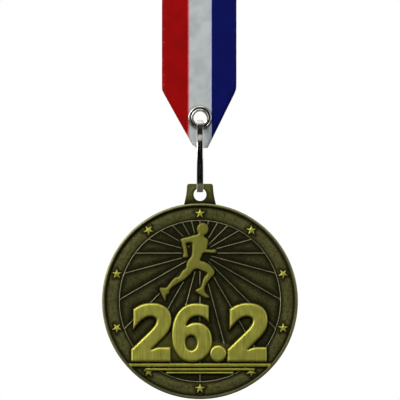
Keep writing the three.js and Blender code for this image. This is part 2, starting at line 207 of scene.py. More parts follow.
def rounded_through(points, count=3):
    """A smooth closed curve through points (Catmull-Rom)."""
    p = np.array(points, float)
    before, after, later = np.roll(p, 1, 0), np.roll(p, -1, 0), np.roll(p, -2, 0)
    made = []
    for k in range(count):
        t = k / count
        made.append(0.5 * (2 * p + (after - before) * t
                           + (2 * before - 5 * p + 4 * after - later) * t ** 2
                           + (3 * p - before - 3 * after + later) * t ** 3))
    return np.stack(made, axis=1).reshape(-1, 2)


def circle(centre, radius, count, squash=1.0):
    """Points round a circle, or round an oval that is squash times as tall as wide."""
    angle = np.arange(count) * 2 * math.pi / count
    return np.stack([centre[0] + radius * np.sin(angle),
                     centre[1] + radius * squash * np.cos(angle)], axis=1)


def spaced_loop(loop, step):
    """The same closed outline with points about one step apart."""
    made = []
    for a, b in zip(loop, np.roll(loop, -1, axis=0)):
        count = max(1, round(float(np.linalg.norm(b - a)) / step))
        made.append(a + (b - a) * (np.arange(count) / count)[:, None])
    return np.concatenate(made)


def inset(loop, depth):
    """An outline moved inward by depth, or outward where depth is negative."""
    following = np.roll(loop, -1, axis=0)
    run = following - np.roll(loop, 1, axis=0)
    normal = np.stack([-run[:, 1], run[:, 0]], axis=1)
    normal /= np.maximum(np.linalg.norm(normal, axis=1), 1e-9)[:, None]
    area = 0.5 * np.sum(loop[:, 0] * following[:, 1] - following[:, 0] * loop[:, 1])
    return loop + normal * depth * (1 if area > 0 else -1)


print("helpers ready")

# %% [markdown]
# ## The drawing on the medal
#
# Every figure on the face is an outline: three numerals and their point, a runner with a plain
# round head, ten stars, three bars and the low plate left between the numerals. They could be
# separate solids sunk into the disc, but a casting is one skin, and its dark patina gathers
# along the foot of every figure. So the face is made as one height map over the drawing.

# %% Outlines of the figures
numeral_bottom_z = -18.65
left_two_x, six_x, right_two_x = -21.2, -8.7, 8.3
numeral_two = drawn(
    (0, 0), ((12.3, 0),), ((12.3, 4.7),), ((9.2, 4.7),), ((8.3, 4.7), (7.3, 4.5), (6.4, 3.9)),
    ((9.4, 6.8),), ((11.3, 8.6), (12.5, 10.2), (12.5, 13)),
    ((12.5, 16.2), (10.2, 18.2), (6.3, 18.2)), ((4.2, 18.2), (2.4, 17.6), (0.7, 16.2)),
    ((0.7, 9.8),), ((2.8, 12.4), (4.2, 13.9), (6, 13.9)),
    ((7.2, 13.9), (7.8, 13.4), (7.8, 12.6)), ((7.8, 11.7), (7, 10.8), (5.8, 9.5)), ((0, 3.9),),
    ((0, 0),))
numeral_six = drawn(
    (11.5, 12), ((11.5, 17.3),), ((10.2, 17.9), (8.8, 18.1), (7.3, 18.1)),
    ((2.6, 18.1), (0, 13.8), (0, 8.4)), ((0, 3.2), (2.4, 0), (6.2, 0)),
    ((10, 0), (12.5, 2.8), (12.5, 6.6)), ((12.5, 10), (10.4, 12.2), (7.6, 12.2)),
    ((6.3, 12.2), (5.3, 11.8), (4.5, 11.2)), ((5, 13), (6.2, 14.05), (8, 14.05)),
    ((9.6, 14.05), (10.6, 13.2), (11.5, 12)))
hole_half_width, hole_half_height = 1.7, 2.2
six_hole = circle((6, 5.9), hole_half_width, 48, squash=hole_half_height / hole_half_width)
six_hole = six_hole + (six_x, numeral_bottom_z)
point_centre, point_radius = (5.55, -16), 2.62
numerals = [
    [numeral_two + (left_two_x, numeral_bottom_z)],
    [numeral_six + (six_x, numeral_bottom_z), six_hole],
    [numeral_two + (right_two_x, numeral_bottom_z)],
    [circle(point_centre, point_radius, 72)],
]

# Three bars under the numerals, each with its half length, middle height and width.
bar_sizes = [(21.8, -19.6, 1.25), (16.9, -20.92, 0.92), (10.4, -21.95, 0.8)]
straight_step = 0.4
bars = [
    [spaced_loop(np.array([(-half, z - wide / 2), (half, z - wide / 2),
                           (half, z + wide / 2), (-half, z + wide / 2)]), straight_step)]
    for half, z, wide in bar_sizes
]
# The web is the low plate between the numerals.
web = [spaced_loop(np.array([(-15.2, -18.6), (9.2, -18.6), (9.2, -13.2), (-9.5, -9.4),
                             (-15.2, -13.6)]), straight_step)]
print("numerals have", sum(len(loop) for loops in numerals for loop in loops), "outline points")

# %% [markdown]
# ### The runner
#
# The figure runs to the right. Its outline starts at the throat and goes round by the leading
# arm, the leading leg, the trailing leg and the trailing arm. The head is a plain oval.

# %% Outline of the runner
runner_points = [
    (1.3, 22), (1.15, 20.6), (1.3, 19.7), (2.3, 19), (2.5, 18.4), (2.2, 16.3), (2.2, 15.9),
    (3.8, 15.7), (4.4, 16), (5.1, 15.3), (4.6, 14.6), (2.9, 14.7), (1.1, 14.7), (0.5, 13.6),
    (0.1, 12.4),
    (1.6, 11.9), (3.2, 10.9), (4.4, 9.2), (4.2, 7.9), (3.1, 6.8), (1.8, 4.9), (1.4, 3.9),
    (1.6, 2.7), (2.9, 1.3), (2.2, 0.9), (1, 1.4), (-1.2, 2.8), (-1.2, 3.5), (0.3, 4.4),
    (0.9, 6.3), (1.3, 7.3), (2.2, 8.5), (0.8, 9.2), (-0.7, 9.8), (-1.9, 9.5), (-3.3, 7.9),
    (-4.9, 6.5), (-6.9, 5.3), (-8.6, 4.1), (-9.4, 3.1), (-9.4, 2.4), (-10, 2), (-10.4, 1.3),
    (-10.5, 0.1), (-10.9, 0.4), (-11.7, 2), (-12.3, 4), (-10.5, 4.1), (-9.9, 4.5),
    (-8.4, 6.5), (-7.4, 7.3), (-6.4, 7.6), (-5.4, 9.2), (-4.2, 10.1), (-4.2, 11),
    (-3.6, 12.5), (-2.7, 13.7), (-2.4, 15.2), (-2.4, 17), (-2.5, 17.8), (-4.2, 17.7),
    (-4.1, 16.6), (-3.8, 14.8), (-3.7, 13.5), (-4.5, 13.2), (-5.2, 13.5), (-5, 14.8),
    (-5.3, 16.4), (-5.7, 18.1), (-6, 18.7), (-5.2, 19.3), (-3.9, 19.6), (-2.7, 19.9),
    (-2, 20.2), (-0.9, 20.4), (-0.5, 21), (-0.3, 22),
]
runner_swell = 0.1
head_centre, head_radius = (0.85, 22.05), 1.85
body_loop = inset(rounded_through(runner_points[::-1], 4), -runner_swell)
head_loop = circle(head_centre, head_radius, 48, squash=1.1)
print("the runner has", len(body_loop) + len(head_loop), "outline points")

# %% [markdown]
# ### Stars and rays
#
# Ten stars stand on a ring inside the rim. Thin raised rays leave a hub behind the runner and
# end on a circle line. They begin a little way out from the hub, where they would run together.

# %% Stars, circle line and rays
circle_radius = 24.7
line_half_width = 0.16
ray_count = 24
ray_start = 3.8
hub = np.array([0.0, 14.7])
star_count = 10
star_ring_radius = 26.8
star_radius, star_waist = 1.85, 0.42
star_step = 0.16
stars_point_down = (2, 4, 7, 9)

stars = []
for i in range(star_count):
    turn = 2 * math.pi * i / star_count
    centre = np.array([math.sin(turn), math.cos(turn)]) * star_ring_radius
    tip = math.pi if i in stars_point_down else 0
    angles = tip + np.arange(10) * math.pi / 5
    radii = np.where(np.arange(10) % 2, star_waist, 1.0) * star_radius
    star = np.stack([np.sin(angles) * radii, np.cos(angles) * radii], axis=1) + centre
    stars.append([spaced_loop(star, star_step)])

ray_turns = [2 * math.pi * i / ray_count for i in range(ray_count)]
ray_ways = [np.array([math.sin(turn), math.cos(turn)]) for turn in ray_turns]


def ray_length(way):
    """How far a ray goes from the hub until it meets the circle line."""
    along = float(hub @ way)
    return -along + math.sqrt(along ** 2 + circle_radius ** 2 - float(hub @ hub))


print(len(stars), "stars and", len(ray_ways), "rays")

# %% [markdown]
# ### The tab
#
# The tab that the ring hangs in is part of the same casting. It is thinner than the disc on
# both faces and its hole has rounded lips, so that the ring can tip in it.

# %% Outline of the blank
tab_top_z = up(medal_high.z)
tab_hole_radius, bridge = 1.95, 1.35
tab_hole = (0.0, tab_top_z - bridge - tab_hole_radius)
tab_half_thickness = 0.8
tab_round = 0.38
tab_outline = drawn(
    (5.2, disc_radius - 1.2), ((4.75, disc_radius), (4.1, 32.5), (4, tab_top_z - 0.8)),
    ((4, tab_top_z - 0.3), (3.7, tab_top_z), (3.2, tab_top_z)), ((-3.2, tab_top_z),),
    ((-3.7, tab_top_z), (-4, tab_top_z - 0.3), (-4, tab_top_z - 0.8)),
    ((-4.1, 32.5), (-4.75, disc_radius), (-5.2, disc_radius - 1.2)), ((5.2, disc_radius - 1.2),))
hole_loop = circle(tab_hole, tab_hole_radius, 64)

# The edge of the casting: the tab's outline outside the disc, then round the disc.
edge_step = 0.28
tab_reach = np.hypot(*tab_outline.T)
tab_edge = tab_outline[(tab_reach > disc_radius + 0.02) & (tab_outline[:, 1] > 0)]
joint_turn = math.asin(min(1.0, tab_edge[:, 0].max() / disc_radius))
around = np.linspace(-joint_turn, joint_turn - 2 * math.pi,
                     round(2 * math.pi * disc_radius / edge_step))
disc_edge = np.stack([np.sin(around), np.cos(around)], axis=1) * disc_radius
edge_loop = np.concatenate([tab_edge, disc_edge])
print("the edge has", len(edge_loop), "points")

# %% [markdown]
# ## The face as a height map
#
# A die cutter sinks each figure to its own depth with a bevelled edge. `bevelled` is that cut:
# a steep wall first, then a soft shoulder up to the flat top. Every figure is laid over the
# field with a maximum, so where two meet the taller one wins, exactly as in the casting.
#
# Three more numbers are kept at each point. `bare` says how much of the dark finish was buffed
# off again, and `cove` how close the point is to the foot of something raised, where the dark
# finish gathers. `pale` marks the rays and the rim, whose thin plating looks less yellow. The
# metal's colour will be painted from them.
#
# The table of kinds holds everything that differs between a numeral and a star: its height,
# the height of its rounded shoulder and the width of its bevel in millimetres, how far the top
# was polished, how fast that fades down the walls, how close its outline points are, and which
# taller kinds may cover it.

# %% Heights of the figures
field_y = -0.6
rim_crest = 29.5
rim_half_width = 0.54
rim_height = 0.9
line_height = 0.3
wall_width = 0.1
cushion_height, cushion_width = 0.14, 2.2
tab_y = -tab_half_thickness

# Shares of polish and of paleness away from the figures, and where the rim's edge begins.
ray_polish, tab_polish = 0.72, 0.12
rim_polish, rim_edge_polish, rim_pale = 0.22, 0.42, 0.6
rim_edge_from, rim_edge_width = 29.45, 0.35
# How far from a corner the dark finish reaches, and how clear the field is at the hub and how
# much clearer far from it.
dark_reach_inside, dark_reach_outside = 2.4, 1.2
clear_at_hub, clear_gain = 0.06, 0.5

Kind = namedtuple("Kind", "top shoulder bevel polish fading step covered_by")
KINDS = {
    "web": Kind(0.4, 0.1, 2.4, 0.12, 2, 0.26, ("numeral", "bar")),
    "bar": Kind(0.8, 0.2, 0.18, 0.68, 1.3, 0.26, ()),
    "star": Kind(0.45, 0.2, 0.22, 1.0, 1.0, star_step, ("bar",)),
    "runner": Kind(0.85, 0.3, 0.38, 0.44, 1.5, 0.22, ("numeral", "head")),
    "head": Kind(0.85, 0.3, 0.38, 0.44, 1.5, 0.22, ("runner",)),
    "numeral": Kind(1.25, 0.42, 0.5, 1.0, 2, 0.26, ()),
}
figures = [(web, "web")] + [(bar, "bar") for bar in bars] + [(star, "star") for star in stars]
figures += [([body_loop], "runner"), ([head_loop], "head")]
figures += [(loops, "numeral") for loops in numerals]


def eased(t):
    """A soft step: 0 up to t = 0, 1 from t = 1."""
    t = np.clip(t, 0, 1)
    return t * t * (3 - 2 * t)


def bevelled(depth, kind):
    """Height of a figure at a depth inside its outline."""
    wall = np.clip(depth / wall_width, 0, 1) * (kind.top - kind.shoulder)
    over_wall = np.clip((depth - wall_width) / kind.bevel, 0, 1)
    return wall + kind.shoulder * np.sin(over_wall * math.pi / 2)


def rim_rise(radius):
    """Height of the raised rim, a bead with a flat crown."""
    across = np.clip(np.abs(radius - rim_crest) / rim_half_width, 0, 1)
    return rim_height * np.sqrt(1 - across ** 3)


def tab_edge_distance(points):
    """Distance to the nearest edge of the tab: its outline or its hole."""
    to_hole = np.hypot(points[:, 0], points[:, 1] - tab_hole[1]) - tab_hole_radius
    return np.minimum(inside_distance(points, [tab_outline], 1.0), to_hole)


def line_distance(points):
    """Distance to the middle of the nearest ray or of the circle line."""
    radius = np.hypot(*points.T)
    nearest = np.abs(radius - circle_radius)
    for way in ray_ways:
        from_hub = points - hub
        along = from_hub @ way
        across = np.abs(from_hub[:, 0] * way[1] - from_hub[:, 1] * way[0])
        reach = (along > ray_start) & (along < ray_length(way))
        nearest = np.where(reach, np.minimum(nearest, across), nearest)
    return nearest


def face_shape(points):
    """Y of the front, and the bare, cove and pale values, for points (x, z)."""
    radius = np.hypot(*points.T)
    on_disc = radius <= disc_radius + 1e-4
    to_line = line_distance(points)
    on_line = to_line < line_half_width

    # Rays fade out beside the runner. Between them the field swells like a cushion.
    beside_runner = eased((-inside_distance(points, [body_loop], 1.0) - 0.1) / 0.5)
    across_line = np.clip(1 - (to_line / line_half_width) ** 2, 0, 1)
    line = line_height * np.sqrt(across_line) * beside_runner
    to_rim = np.abs(radius - rim_crest) - rim_half_width
    open_field = np.minimum(to_line - line_half_width, to_rim)
    cushion = cushion_height * eased(open_field / cushion_width) * (radius < rim_crest)
    height = np.maximum(cushion, line)
    bare = np.where(on_line, ray_polish * line / line_height, 0.0)
    pale = on_line.astype(float)
    gap = np.maximum(open_field, 0)

    # Each figure in turn. The head and the body share one depth, so no groove parts them.
    for loops, name in figures:
        kind = KINDS[name]
        depth = inside_distance(points, loops, 2.6)
        if name == "runner":
            body_depth = depth
        if name == "head":
            depth = np.where(np.minimum(depth, body_depth) > 0, np.hypot(depth, body_depth),
                             np.maximum(depth, body_depth))
        rise = np.where(depth > 0, bevelled(depth, kind), -1)
        over = rise > height
        bare = np.where(over, kind.polish * np.clip(rise / kind.top, 0, 1) ** kind.fading, bare)
        pale = np.where(over, 0, pale)
        height = np.where(over, rise, height)
        if name != "web":
            gap = np.minimum(gap, np.maximum(-depth, 0))

    # The rim is polished most along its outer edge.
    rim = np.where(on_disc, rim_rise(radius), 0)
    over = (rim > height) & (to_rim < 0)
    outer_edge = eased((radius - rim_edge_from) / rim_edge_width)
    polish = rim_polish + rim_edge_polish * outer_edge
    bare = np.where(over, polish * (rim / rim_height) ** 2, bare)
    pale = np.where(over, rim_pale, pale)
    height = np.maximum(height, rim)

    # The tab: a flat plate with rounded edges, darkest where it meets the disc.
    edge = tab_edge_distance(points)
    lip = np.clip(edge, 0, tab_round)
    tab = tab_y + tab_round - np.sqrt(tab_round ** 2 - (tab_round - lip) ** 2)
    y = np.where(on_disc, field_y - height, tab)
    off_disc = radius - disc_radius
    bare = np.where(on_disc, bare, tab_polish * eased(off_disc / 3.5))
    pale = np.where(on_disc, pale, 0)
    gap = np.where(on_disc, gap, np.maximum(np.minimum(0.35 * off_disc, 0.9 * edge), 0))

    # The dark finish gathers in the corners, and inside the circle also towards the hub.
    from_hub = eased((np.linalg.norm(points - hub, axis=1) - 2) / 15)
    inside_circle = radius < circle_radius
    clear = eased(gap / np.where(inside_circle, dark_reach_inside, dark_reach_outside))
    cove = 1 - clear * np.where(inside_circle, clear_at_hub + clear_gain * from_hub, 1)
    return y, np.clip(bare, 0, 1), np.clip(cove, 0, 1), pale


print(len(figures), "figures on the face")

# %% [markdown]
# ### Points for the face
#
# A height map is only as crisp as its points. So each outline is followed by rings of points
# a little further in, at the foot, the top of the wall and the shoulder, and each thin line has
# five rows of points across it. A loose even grid fills what is left.

# %% Points and drawn edges of the face
face_points, face_edges = [], []


def add_chain(points, closed, wanted=None):
    """Adds a row of points, with an edge between neighbours that are both wanted."""
    start = sum(len(p) for p in face_points)
    wanted = np.ones(len(points), bool) if wanted is None else wanted
    number = np.cumsum(wanted) - 1 + start
    face_points.append(np.asarray(points)[wanted])
    last = len(points) if closed else len(points) - 1
    for i in range(last):
        j = (i + 1) % len(points)
        if wanted[i] and wanted[j]:
            face_edges.append((int(number[i]), int(number[j])))


def clear_of(points, kinds, margin):
    """True for points that lie inside the rim and outside every figure of those kinds."""
    clear = np.hypot(*points.T) < disc_radius - 1.15
    for loops, name in figures:
        if name in kinds:
            clear &= inside_distance(points, loops, 1.0) < -margin
    return clear


foot_arc = circle((0, 0), disc_radius + 0.03, 660)
foot_in_tab = inside_distance(foot_arc, [tab_outline], 1.0) > 0.1


def start_face(radii, count):
    """The rows every face has: both edges, their rounded lips, circles and the tab's foot."""
    face_points.clear()
    face_edges.clear()
    add_chain(edge_loop, True)
    add_chain(hole_loop, True)
    for inward in (0.05, 0.15, 0.27, tab_round):
        add_chain(circle(tab_hole, tab_hole_radius + inward, 56), True)
        row = inset(tab_edge, inward)
        add_chain(row, False, np.hypot(*row.T) > disc_radius + 0.05)
    for radius in radii:
        add_chain(circle((0, 0), radius, count), True)
    add_chain(foot_arc, True, foot_in_tab)


start_face((29.97, 29.9, 29.78, 29.6, 29.4, 29.2, 29.04, 28.94, 28.88, 28.85), 520)
for loops, name in figures:
    kind = KINDS[name]
    for loop in loops:
        finer = spaced_loop(loop, kind.step)
        for inward in (0, wall_width, wall_width + kind.bevel * 0.35,
                       wall_width + kind.bevel * 0.7, wall_width + kind.bevel):
            row = inset(finer, -inward if loop is six_hole else inward)
            wanted = inside_distance(row, loops, 1.0) > inward * 0.9 - 0.02
            wanted &= clear_of(row, kind.covered_by, 0.08)
            if name != "web" or inward == 0:
                add_chain(row, True, wanted)
for across in (-1, -0.6, 0, 0.6, 1):
    row = circle((0, 0), circle_radius + across * line_half_width, 420)
    add_chain(row, True, clear_of(row, ("numeral", "bar", "web"), 0.1))
    for way in ray_ways:
        side = np.array([way[1], -way[0]])
        along = np.linspace(ray_start + 0.1, ray_length(way) - line_half_width - 0.05, 56)
        row = hub + along[:, None] * way + across * line_half_width * side
        add_chain(row, False, clear_of(row, ("numeral", "bar", "web", "runner", "head"), 0.1))

# The even grid has equal triangles. Points that lie too close to a drawn one are left out.
grid_step = 0.5
least_gap = grid_step * 0.42
field_radius = 28.7
columns = np.arange(-31, 31, grid_step)
rows = np.arange(-31, 37, grid_step * 0.866)
grid = np.array([(x + (k % 2) * grid_step / 2, z) for k, z in enumerate(rows) for x in columns])
radius = np.hypot(*grid.T)
on_tab = (tab_edge_distance(grid) > 0.5) & (radius > disc_radius + 0.2)
grid = grid[(radius < field_radius) | on_tab]
drawn_points = np.concatenate(face_points)
tree = kdtree.KDTree(len(drawn_points))
for i, (x, z) in enumerate(drawn_points):
    tree.insert((x, z, 0), i)
tree.balance()
grid = grid[[tree.find((x, z, 0))[2] > least_gap for x, z in grid]]
print(len(drawn_points), "drawn points,", len(grid), "grid points")


# %% The front of the casting
def within_blank(points):
    """True for points inside the blank's edge and outside the tab's hole."""
    inside = inside_distance(points, [edge_loop], 1.0) > 0
    return inside & (np.hypot(points[:, 0], points[:, 1] - tab_hole[1]) > tab_hole_radius)


front_spots, front_faces = triangulated(np.concatenate([drawn_points, grid]), face_edges,
                                        within_blank)
front_y, bare, cove, pale = face_shape(front_spots)
print(len(front_faces), "triangles on the front")

# %% [markdown]
# ### The back
#
# The back is plain: a flat plate with a rounded edge and one turned groove near it. It was
# buffed evenly, so the dark finish is left only in the groove and round the tab.

# %% The back of the casting
back_round = 0.35
groove_radius, groove_half, groove_depth = 27.6, 0.3, 0.16
back_polish, groove_polish = 0.5, 0.4
plain_radius = 25.8


def back_shape(points):
    """Y of the back, and its bare and cove values, for points (x, z)."""
    radius = np.hypot(*points.T)
    over = np.clip(radius - (disc_radius - back_round), 0, back_round)
    y = back_y - back_round + np.sqrt(back_round ** 2 - over ** 2)
    groove = np.clip(1 - (np.abs(radius - groove_radius) / groove_half) ** 2, 0, 1)
    y = y - groove_depth * groove
    edge = np.clip(tab_edge_distance(points), 0, tab_round)
    tab = -tab_y - tab_round + np.sqrt(tab_round ** 2 - (tab_round - edge) ** 2)
    bare = np.where(groove > 0, groove_polish * (1 - groove), back_polish)
    step = eased((radius - disc_radius) / 1.5)
    on_disc = radius <= disc_radius + 1e-4
    to_groove = np.abs(np.abs(radius - groove_radius) - groove_half)
    by_groove, by_edge = 1 - eased(to_groove / 1.1), 1 - eased(edge / 0.8)
    dark = 0.6 * by_groove * on_disc + 0.3 * by_edge * ~on_disc
    bare = np.where(on_disc, bare, 0.15 + 0.3 * step) * (1 - dark)
    return np.where(on_disc, y, tab), bare, dark


start_face((29.97, 29.9, 29.78, 29.65, 29.2, 28.8, 28.4, 28.1,
            27.9, 27.75, 27.6, 27.45, 27.3, 27.0, 26.6, 26.2), 420)
grid_radius = np.hypot(*grid.T)
coarse = (grid_radius < plain_radius) | (grid_radius > disc_radius)
coarse = grid[(np.arange(len(grid)) % 3 == 0) & coarse]
back_spots, back_faces = triangulated(np.concatenate(face_points + [coarse]), face_edges,
                                      within_blank)
back_points_y, back_bare, back_cove = back_shape(back_spots)
print(len(back_faces), "triangles on the back")

# %% [markdown]
# ### One closed casting
#
# The front and the back share the points of the blank's edge and of the hole, so the two sheets
# are sewn together there with a wall, and the casting is watertight without any boolean.


# %% Sewing sheets together
def upright(faces, spots):
    """Turns every triangle the same way round, as seen from the front."""
    a, b, c = (spots[faces[:, k]] for k in range(3))
    area = (b[:, 0] - a[:, 0]) * (c[:, 1] - a[:, 1]) - (c[:, 0] - a[:, 0]) * (b[:, 1] - a[:, 1])
    return np.where((area > 0)[:, None], faces, faces[:, ::-1])


def open_edges(faces):
    """The directed edges that only one triangle uses."""
    edges = np.concatenate([faces[:, [0, 1]], faces[:, [1, 2]], faces[:, [2, 0]]])
    keys = np.sort(edges, axis=1)
    keys = keys[:, 0] * 10_000_000 + keys[:, 1]
    _, first, count = np.unique(keys, return_index=True, return_counts=True)
    return edges[first[count == 1]]


def compact(faces, count):
    """The numbers of the points in use, out of count, and the faces numbered by those."""
    used = np.unique(faces)
    renumber = np.full(count, -1)
    renumber[used] = np.arange(len(used))
    return used, renumber[faces]


front_faces = upright(front_faces, front_spots)
back_faces = upright(back_faces, back_spots)[:, ::-1]
front_points = np.stack([front_spots[:, 0], front_y, front_spots[:, 1]], axis=1)
back_points = np.stack([back_spots[:, 0], back_points_y, back_spots[:, 1]], axis=1)
at_spot = {(round(x, 4), round(z, 4)): i for i, (x, z) in enumerate(back_spots)}
shift = len(front_points)
walls = []
for a, b in open_edges(front_faces):
    behind_a = at_spot[tuple(np.round(front_spots[a], 4))] + shift
    behind_b = at_spot[tuple(np.round(front_spots[b], 4))] + shift
    walls += [(b, a, behind_a), (b, behind_a, behind_b)]
casting_points = np.concatenate([front_points, back_points])
casting_faces = np.concatenate([front_faces, back_faces + shift, np.array(walls)])
used, casting_faces = compact(casting_faces, len(casting_points))
medallion = mesh_object("medal_casting", place(casting_points[used]), casting_faces,
                        "medal", smooth_deg=50)
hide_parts("medallion")
for name, front, back in (("bare", bare, back_bare), ("cove", cove, back_cove),
                          ("pale", pale, np.zeros(len(back_spots)))):
    store(medallion, name, np.concatenate([front, back])[used])
loose = len(open_edges(casting_faces))
print(len(medallion.data.polygons), "faces in the casting,", loose, "open edges")

# %% [markdown]
# ## The ribbon
#
# A neck ribbon is one strip. It goes up from the eyelet, over a hook or a neck, and comes back
# down, and its two ends lie on each other. Most of its length is stored here as a flat hank
# of doubled runs, as it is packed for sale, with the loop left free above.
#
# Cloth simulation would have to be held at every fold, so the strip is bent by calculation: a
# flat strip is drawn once, in its own width and length, and `cloth_point` carries any point of
# it to its place. Whatever is drawn on the flat strip, such as stripes, then follows every fold.

# %% Route of the strip
half_width = strap_high.x / MM
cloth_half = 0.175
layer_half = 0.2
front_strap_y = (strap_low.y + strap_high.y) / 2 / MM
rear_strap_y = rear_low.y / MM + layer_half
flap_back_y = rear_high.y / MM
tip_z = up(strap_low.z)
hank_foot_z, hank_top_z = up(hank_low.z), up(hank_high.z)
hank_front_y, hank_back_y = hank_low.y / MM, hank_high.y / MM
loop_radius = loop_high.y / MM - layer_half
loop_centre_z = up(loop_high.z) - layer_half - loop_radius
run_count = 7
run_slack = 0.35
fold_spread = 1.3
strap_step, run_step = 1.0, 2.4
run_pitch = (hank_back_y - hank_front_y - run_slack) / run_count
first_run_y = hank_front_y + run_slack + 2 * layer_half
turn_room = run_pitch / 2 + 2 * layer_half
dice = np.random.default_rng(11)
fold_heights = [(hank_top_z - turn_room - dice.uniform(0, fold_spread)) if k % 2 == 0
                else (hank_foot_z + turn_room + dice.uniform(0, fold_spread))
                for k in range(run_count - 1)]


def straight(y0, z0, y1, z1, step):
    """A run of points (y, z) that eases over sideways, without its last one."""
    count = max(2, int(math.hypot(y1 - y0, z1 - z0) / step))
    t = np.linspace(0, 1, count + 1)[:-1]
    return np.stack([y0 + (y1 - y0) * eased(t), z0 + (z1 - z0) * t], axis=1)


def half_route(side):
    """One layer from its tip to the top of the loop; side is -1 in front and 1 behind."""
    strap_y = front_strap_y if side < 0 else rear_strap_y
    y, z = first_run_y + side * layer_half, hank_foot_z + 4
    parts = [straight(strap_y, tip_z, strap_y, hank_foot_z - 6, strap_step),
             straight(strap_y, hank_foot_z - 6, y, z, strap_step)]
    for k, fold_z in enumerate(fold_heights):
        parts.append(straight(y, z, y, fold_z, run_step))
        over = k % 2 == 0
        radius = run_pitch / 2 - side * layer_half * (1 if over else -1)
        angle = np.linspace(math.pi, 0 if over else 2 * math.pi, 12)[:-1]
        centre_y = first_run_y + run_pitch * (k + 0.5)
        parts.append(np.stack([centre_y + radius * np.cos(angle),
                               fold_z + radius * np.sin(angle)], 1))
        y, z = centre_y + radius, fold_z
    parts.append(straight(y, z, y, hank_top_z + 0.3, run_step))
    start = (y, hank_top_z + 0.3)
    end = (side * loop_radius, loop_centre_z)
    parts.append(bezier(start, (y, start[1] + 8), (end[0], end[1] - 8), end, 20)[:-1])
    angle = np.linspace(math.pi if side < 0 else 0, math.pi / 2, 14)
    parts.append(np.stack([loop_radius * np.cos(angle),
                           loop_centre_z + loop_radius * np.sin(angle)], 1))
    return np.concatenate(parts)


route = np.concatenate([half_route(-1), half_route(1)[-2::-1]])
route_v = np.concatenate([[0], np.cumsum(np.linalg.norm(np.diff(route, axis=0), axis=1))])
route_run = np.gradient(route, route_v, axis=0)
route_run /= np.linalg.norm(route_run, axis=1)[:, None]
strip_length = route_v[-1]

# %% [markdown]
# ### Folded corners
#
# Each end is folded to a V: its two corners turn behind the strap along slanting creases. A
# crease isn't a sharp line but a half turn of small radius. The front layer turns round the
# outside of the rear one, so its radius is bigger. Past the half turn the cloth is a mirror
# image of itself, and the corners are trimmed where they would meet behind the eyelet.
#
# The rear layer hangs a little to one side, so a sliver of it shows, as on a real ribbon.

# %% The creases
crease_ends = {-1: ((-11.1, 63.9), (-3.1, 49.5)), 1: ((11.1, 64.6), (3.9, 50.0))}
eyelet_spot = np.array([0, eyelet_z])
cloth_hole = 2.5
trim_x = 0.12
rear_corner_y = 0.175
layers = {
    "front": {"y": front_strap_y, "inset": 0.2,
              "radius": (flap_back_y - cloth_half - front_strap_y) / 2},
    "rear": {"y": rear_strap_y, "inset": 0.47, "radius": (rear_corner_y - rear_strap_y) / 2},
}
rear_shift = -0.5
folded_length = 40


def crease(side):
    """A point on the crease, the way along it and the way across it, outwards."""
    shoulder, low = (np.array(p) for p in crease_ends[side])
    along = (low - shoulder) / np.linalg.norm(low - shoulder)
    return shoulder, along, side * np.array([-along[1], along[0]])


def folded(spots, lift, layer):
    """Places of flat points (x, z) of a strap; lift is toward the viewer's side."""
    radius, start = layer["radius"], -layer["inset"] - layer["radius"]
    placed = np.zeros((len(spots), 3))
    for side in (-1, 1):
        chosen = (spots[:, 0] >= 0) if side > 0 else (spots[:, 0] < 0)
        origin, along, across = crease(side)
        s = (spots[chosen] - origin) @ across
        t = (spots[chosen] - origin) @ along
        angle = np.clip((s - start) / radius, 0, math.pi)
        reach = radius + lift[chosen]
        past_turn = np.maximum(s - start - math.pi * radius, 0)
        s_new = np.minimum(s, start) + reach * np.sin(angle) - past_turn
        flat = origin + s_new[:, None] * across + t[:, None] * along
        # The cloth ripples a little, but not at the creases or under the eyelet.
        from_eyelet = np.linalg.norm(spots[chosen] - eyelet_spot, axis=1)
        calm = eased((start - s) / 4) * eased(from_eyelet / 6 - 0.6)
        x, z = spots[chosen].T
        ripple = 0.05 * np.sin(0.83 * x + 0.31 * z) * np.sin(0.42 * z - 0.2 * x + layer["y"] * 5)
        y = layer["y"] + radius - reach * np.cos(angle) + calm * ripple
        placed[chosen] = np.stack([flat[:, 0], y, flat[:, 1]], axis=1)
    return placed


def unfolded(spots, layer, side):
    """Flat places of points (x, z) drawn on a folded corner."""
    radius, start = layer["radius"], -layer["inset"] - layer["radius"]
    origin, along, across = crease(side)
    s = 2 * start + math.pi * radius - (spots - origin) @ across
    return origin + s[:, None] * across + ((spots - origin) @ along)[:, None] * along


def cloth_point(u, v, lift):
    """Places in millimetres of strip points u across and v along, lifted off its middle."""
    y, z = (np.interp(v, route_v, route[:, k]) for k in (0, 1))
    ty, tz = (np.interp(v, route_v, route_run[:, k]) for k in (0, 1))
    sway = 0.12 * np.sin(v / 31) * eased((v - 60) / 40) * eased((strip_length - 60 - v) / 40)
    places = np.stack([u + sway, y - lift * tz, z + lift * ty], axis=1)
    ends = (("front", v < folded_length, 1), ("rear", v > strip_length - folded_length, -1))
    for name, chosen, sign in ends:
        flat = np.stack([u[chosen], z[chosen]], axis=1)
        places[chosen] = folded(flat, sign * lift[chosen], layers[name])
        if name == "rear":
            places[chosen, 0] += rear_shift
    late = (v > strip_length / 2) & (v <= strip_length - folded_length)
    places[late, 0] += rear_shift * eased((v[late] - strip_length + 120) / 80)
    return places


print("crease radii:", [round(layer["radius"], 3) for layer in layers.values()], "mm")

# %% [markdown]
# ### The flat strip
#
# The plain length is a grid whose rows follow the bends. The two ends need more: rows of
# points along the creases, the eyelet's hole through the strap and both corners, and the trim
# line. They are triangulated like the medal's face and share their top row with the grid.

# %% Drawing the two ends flat
column_u = np.linspace(-half_width, half_width, 25)
end_zone = 22.0
zone_row = int(np.argmin(np.abs(route_v - end_zone)))
zone_top_z = route[zone_row, 1]
hole_count, side_count = 48, 24
fill_step = 0.8


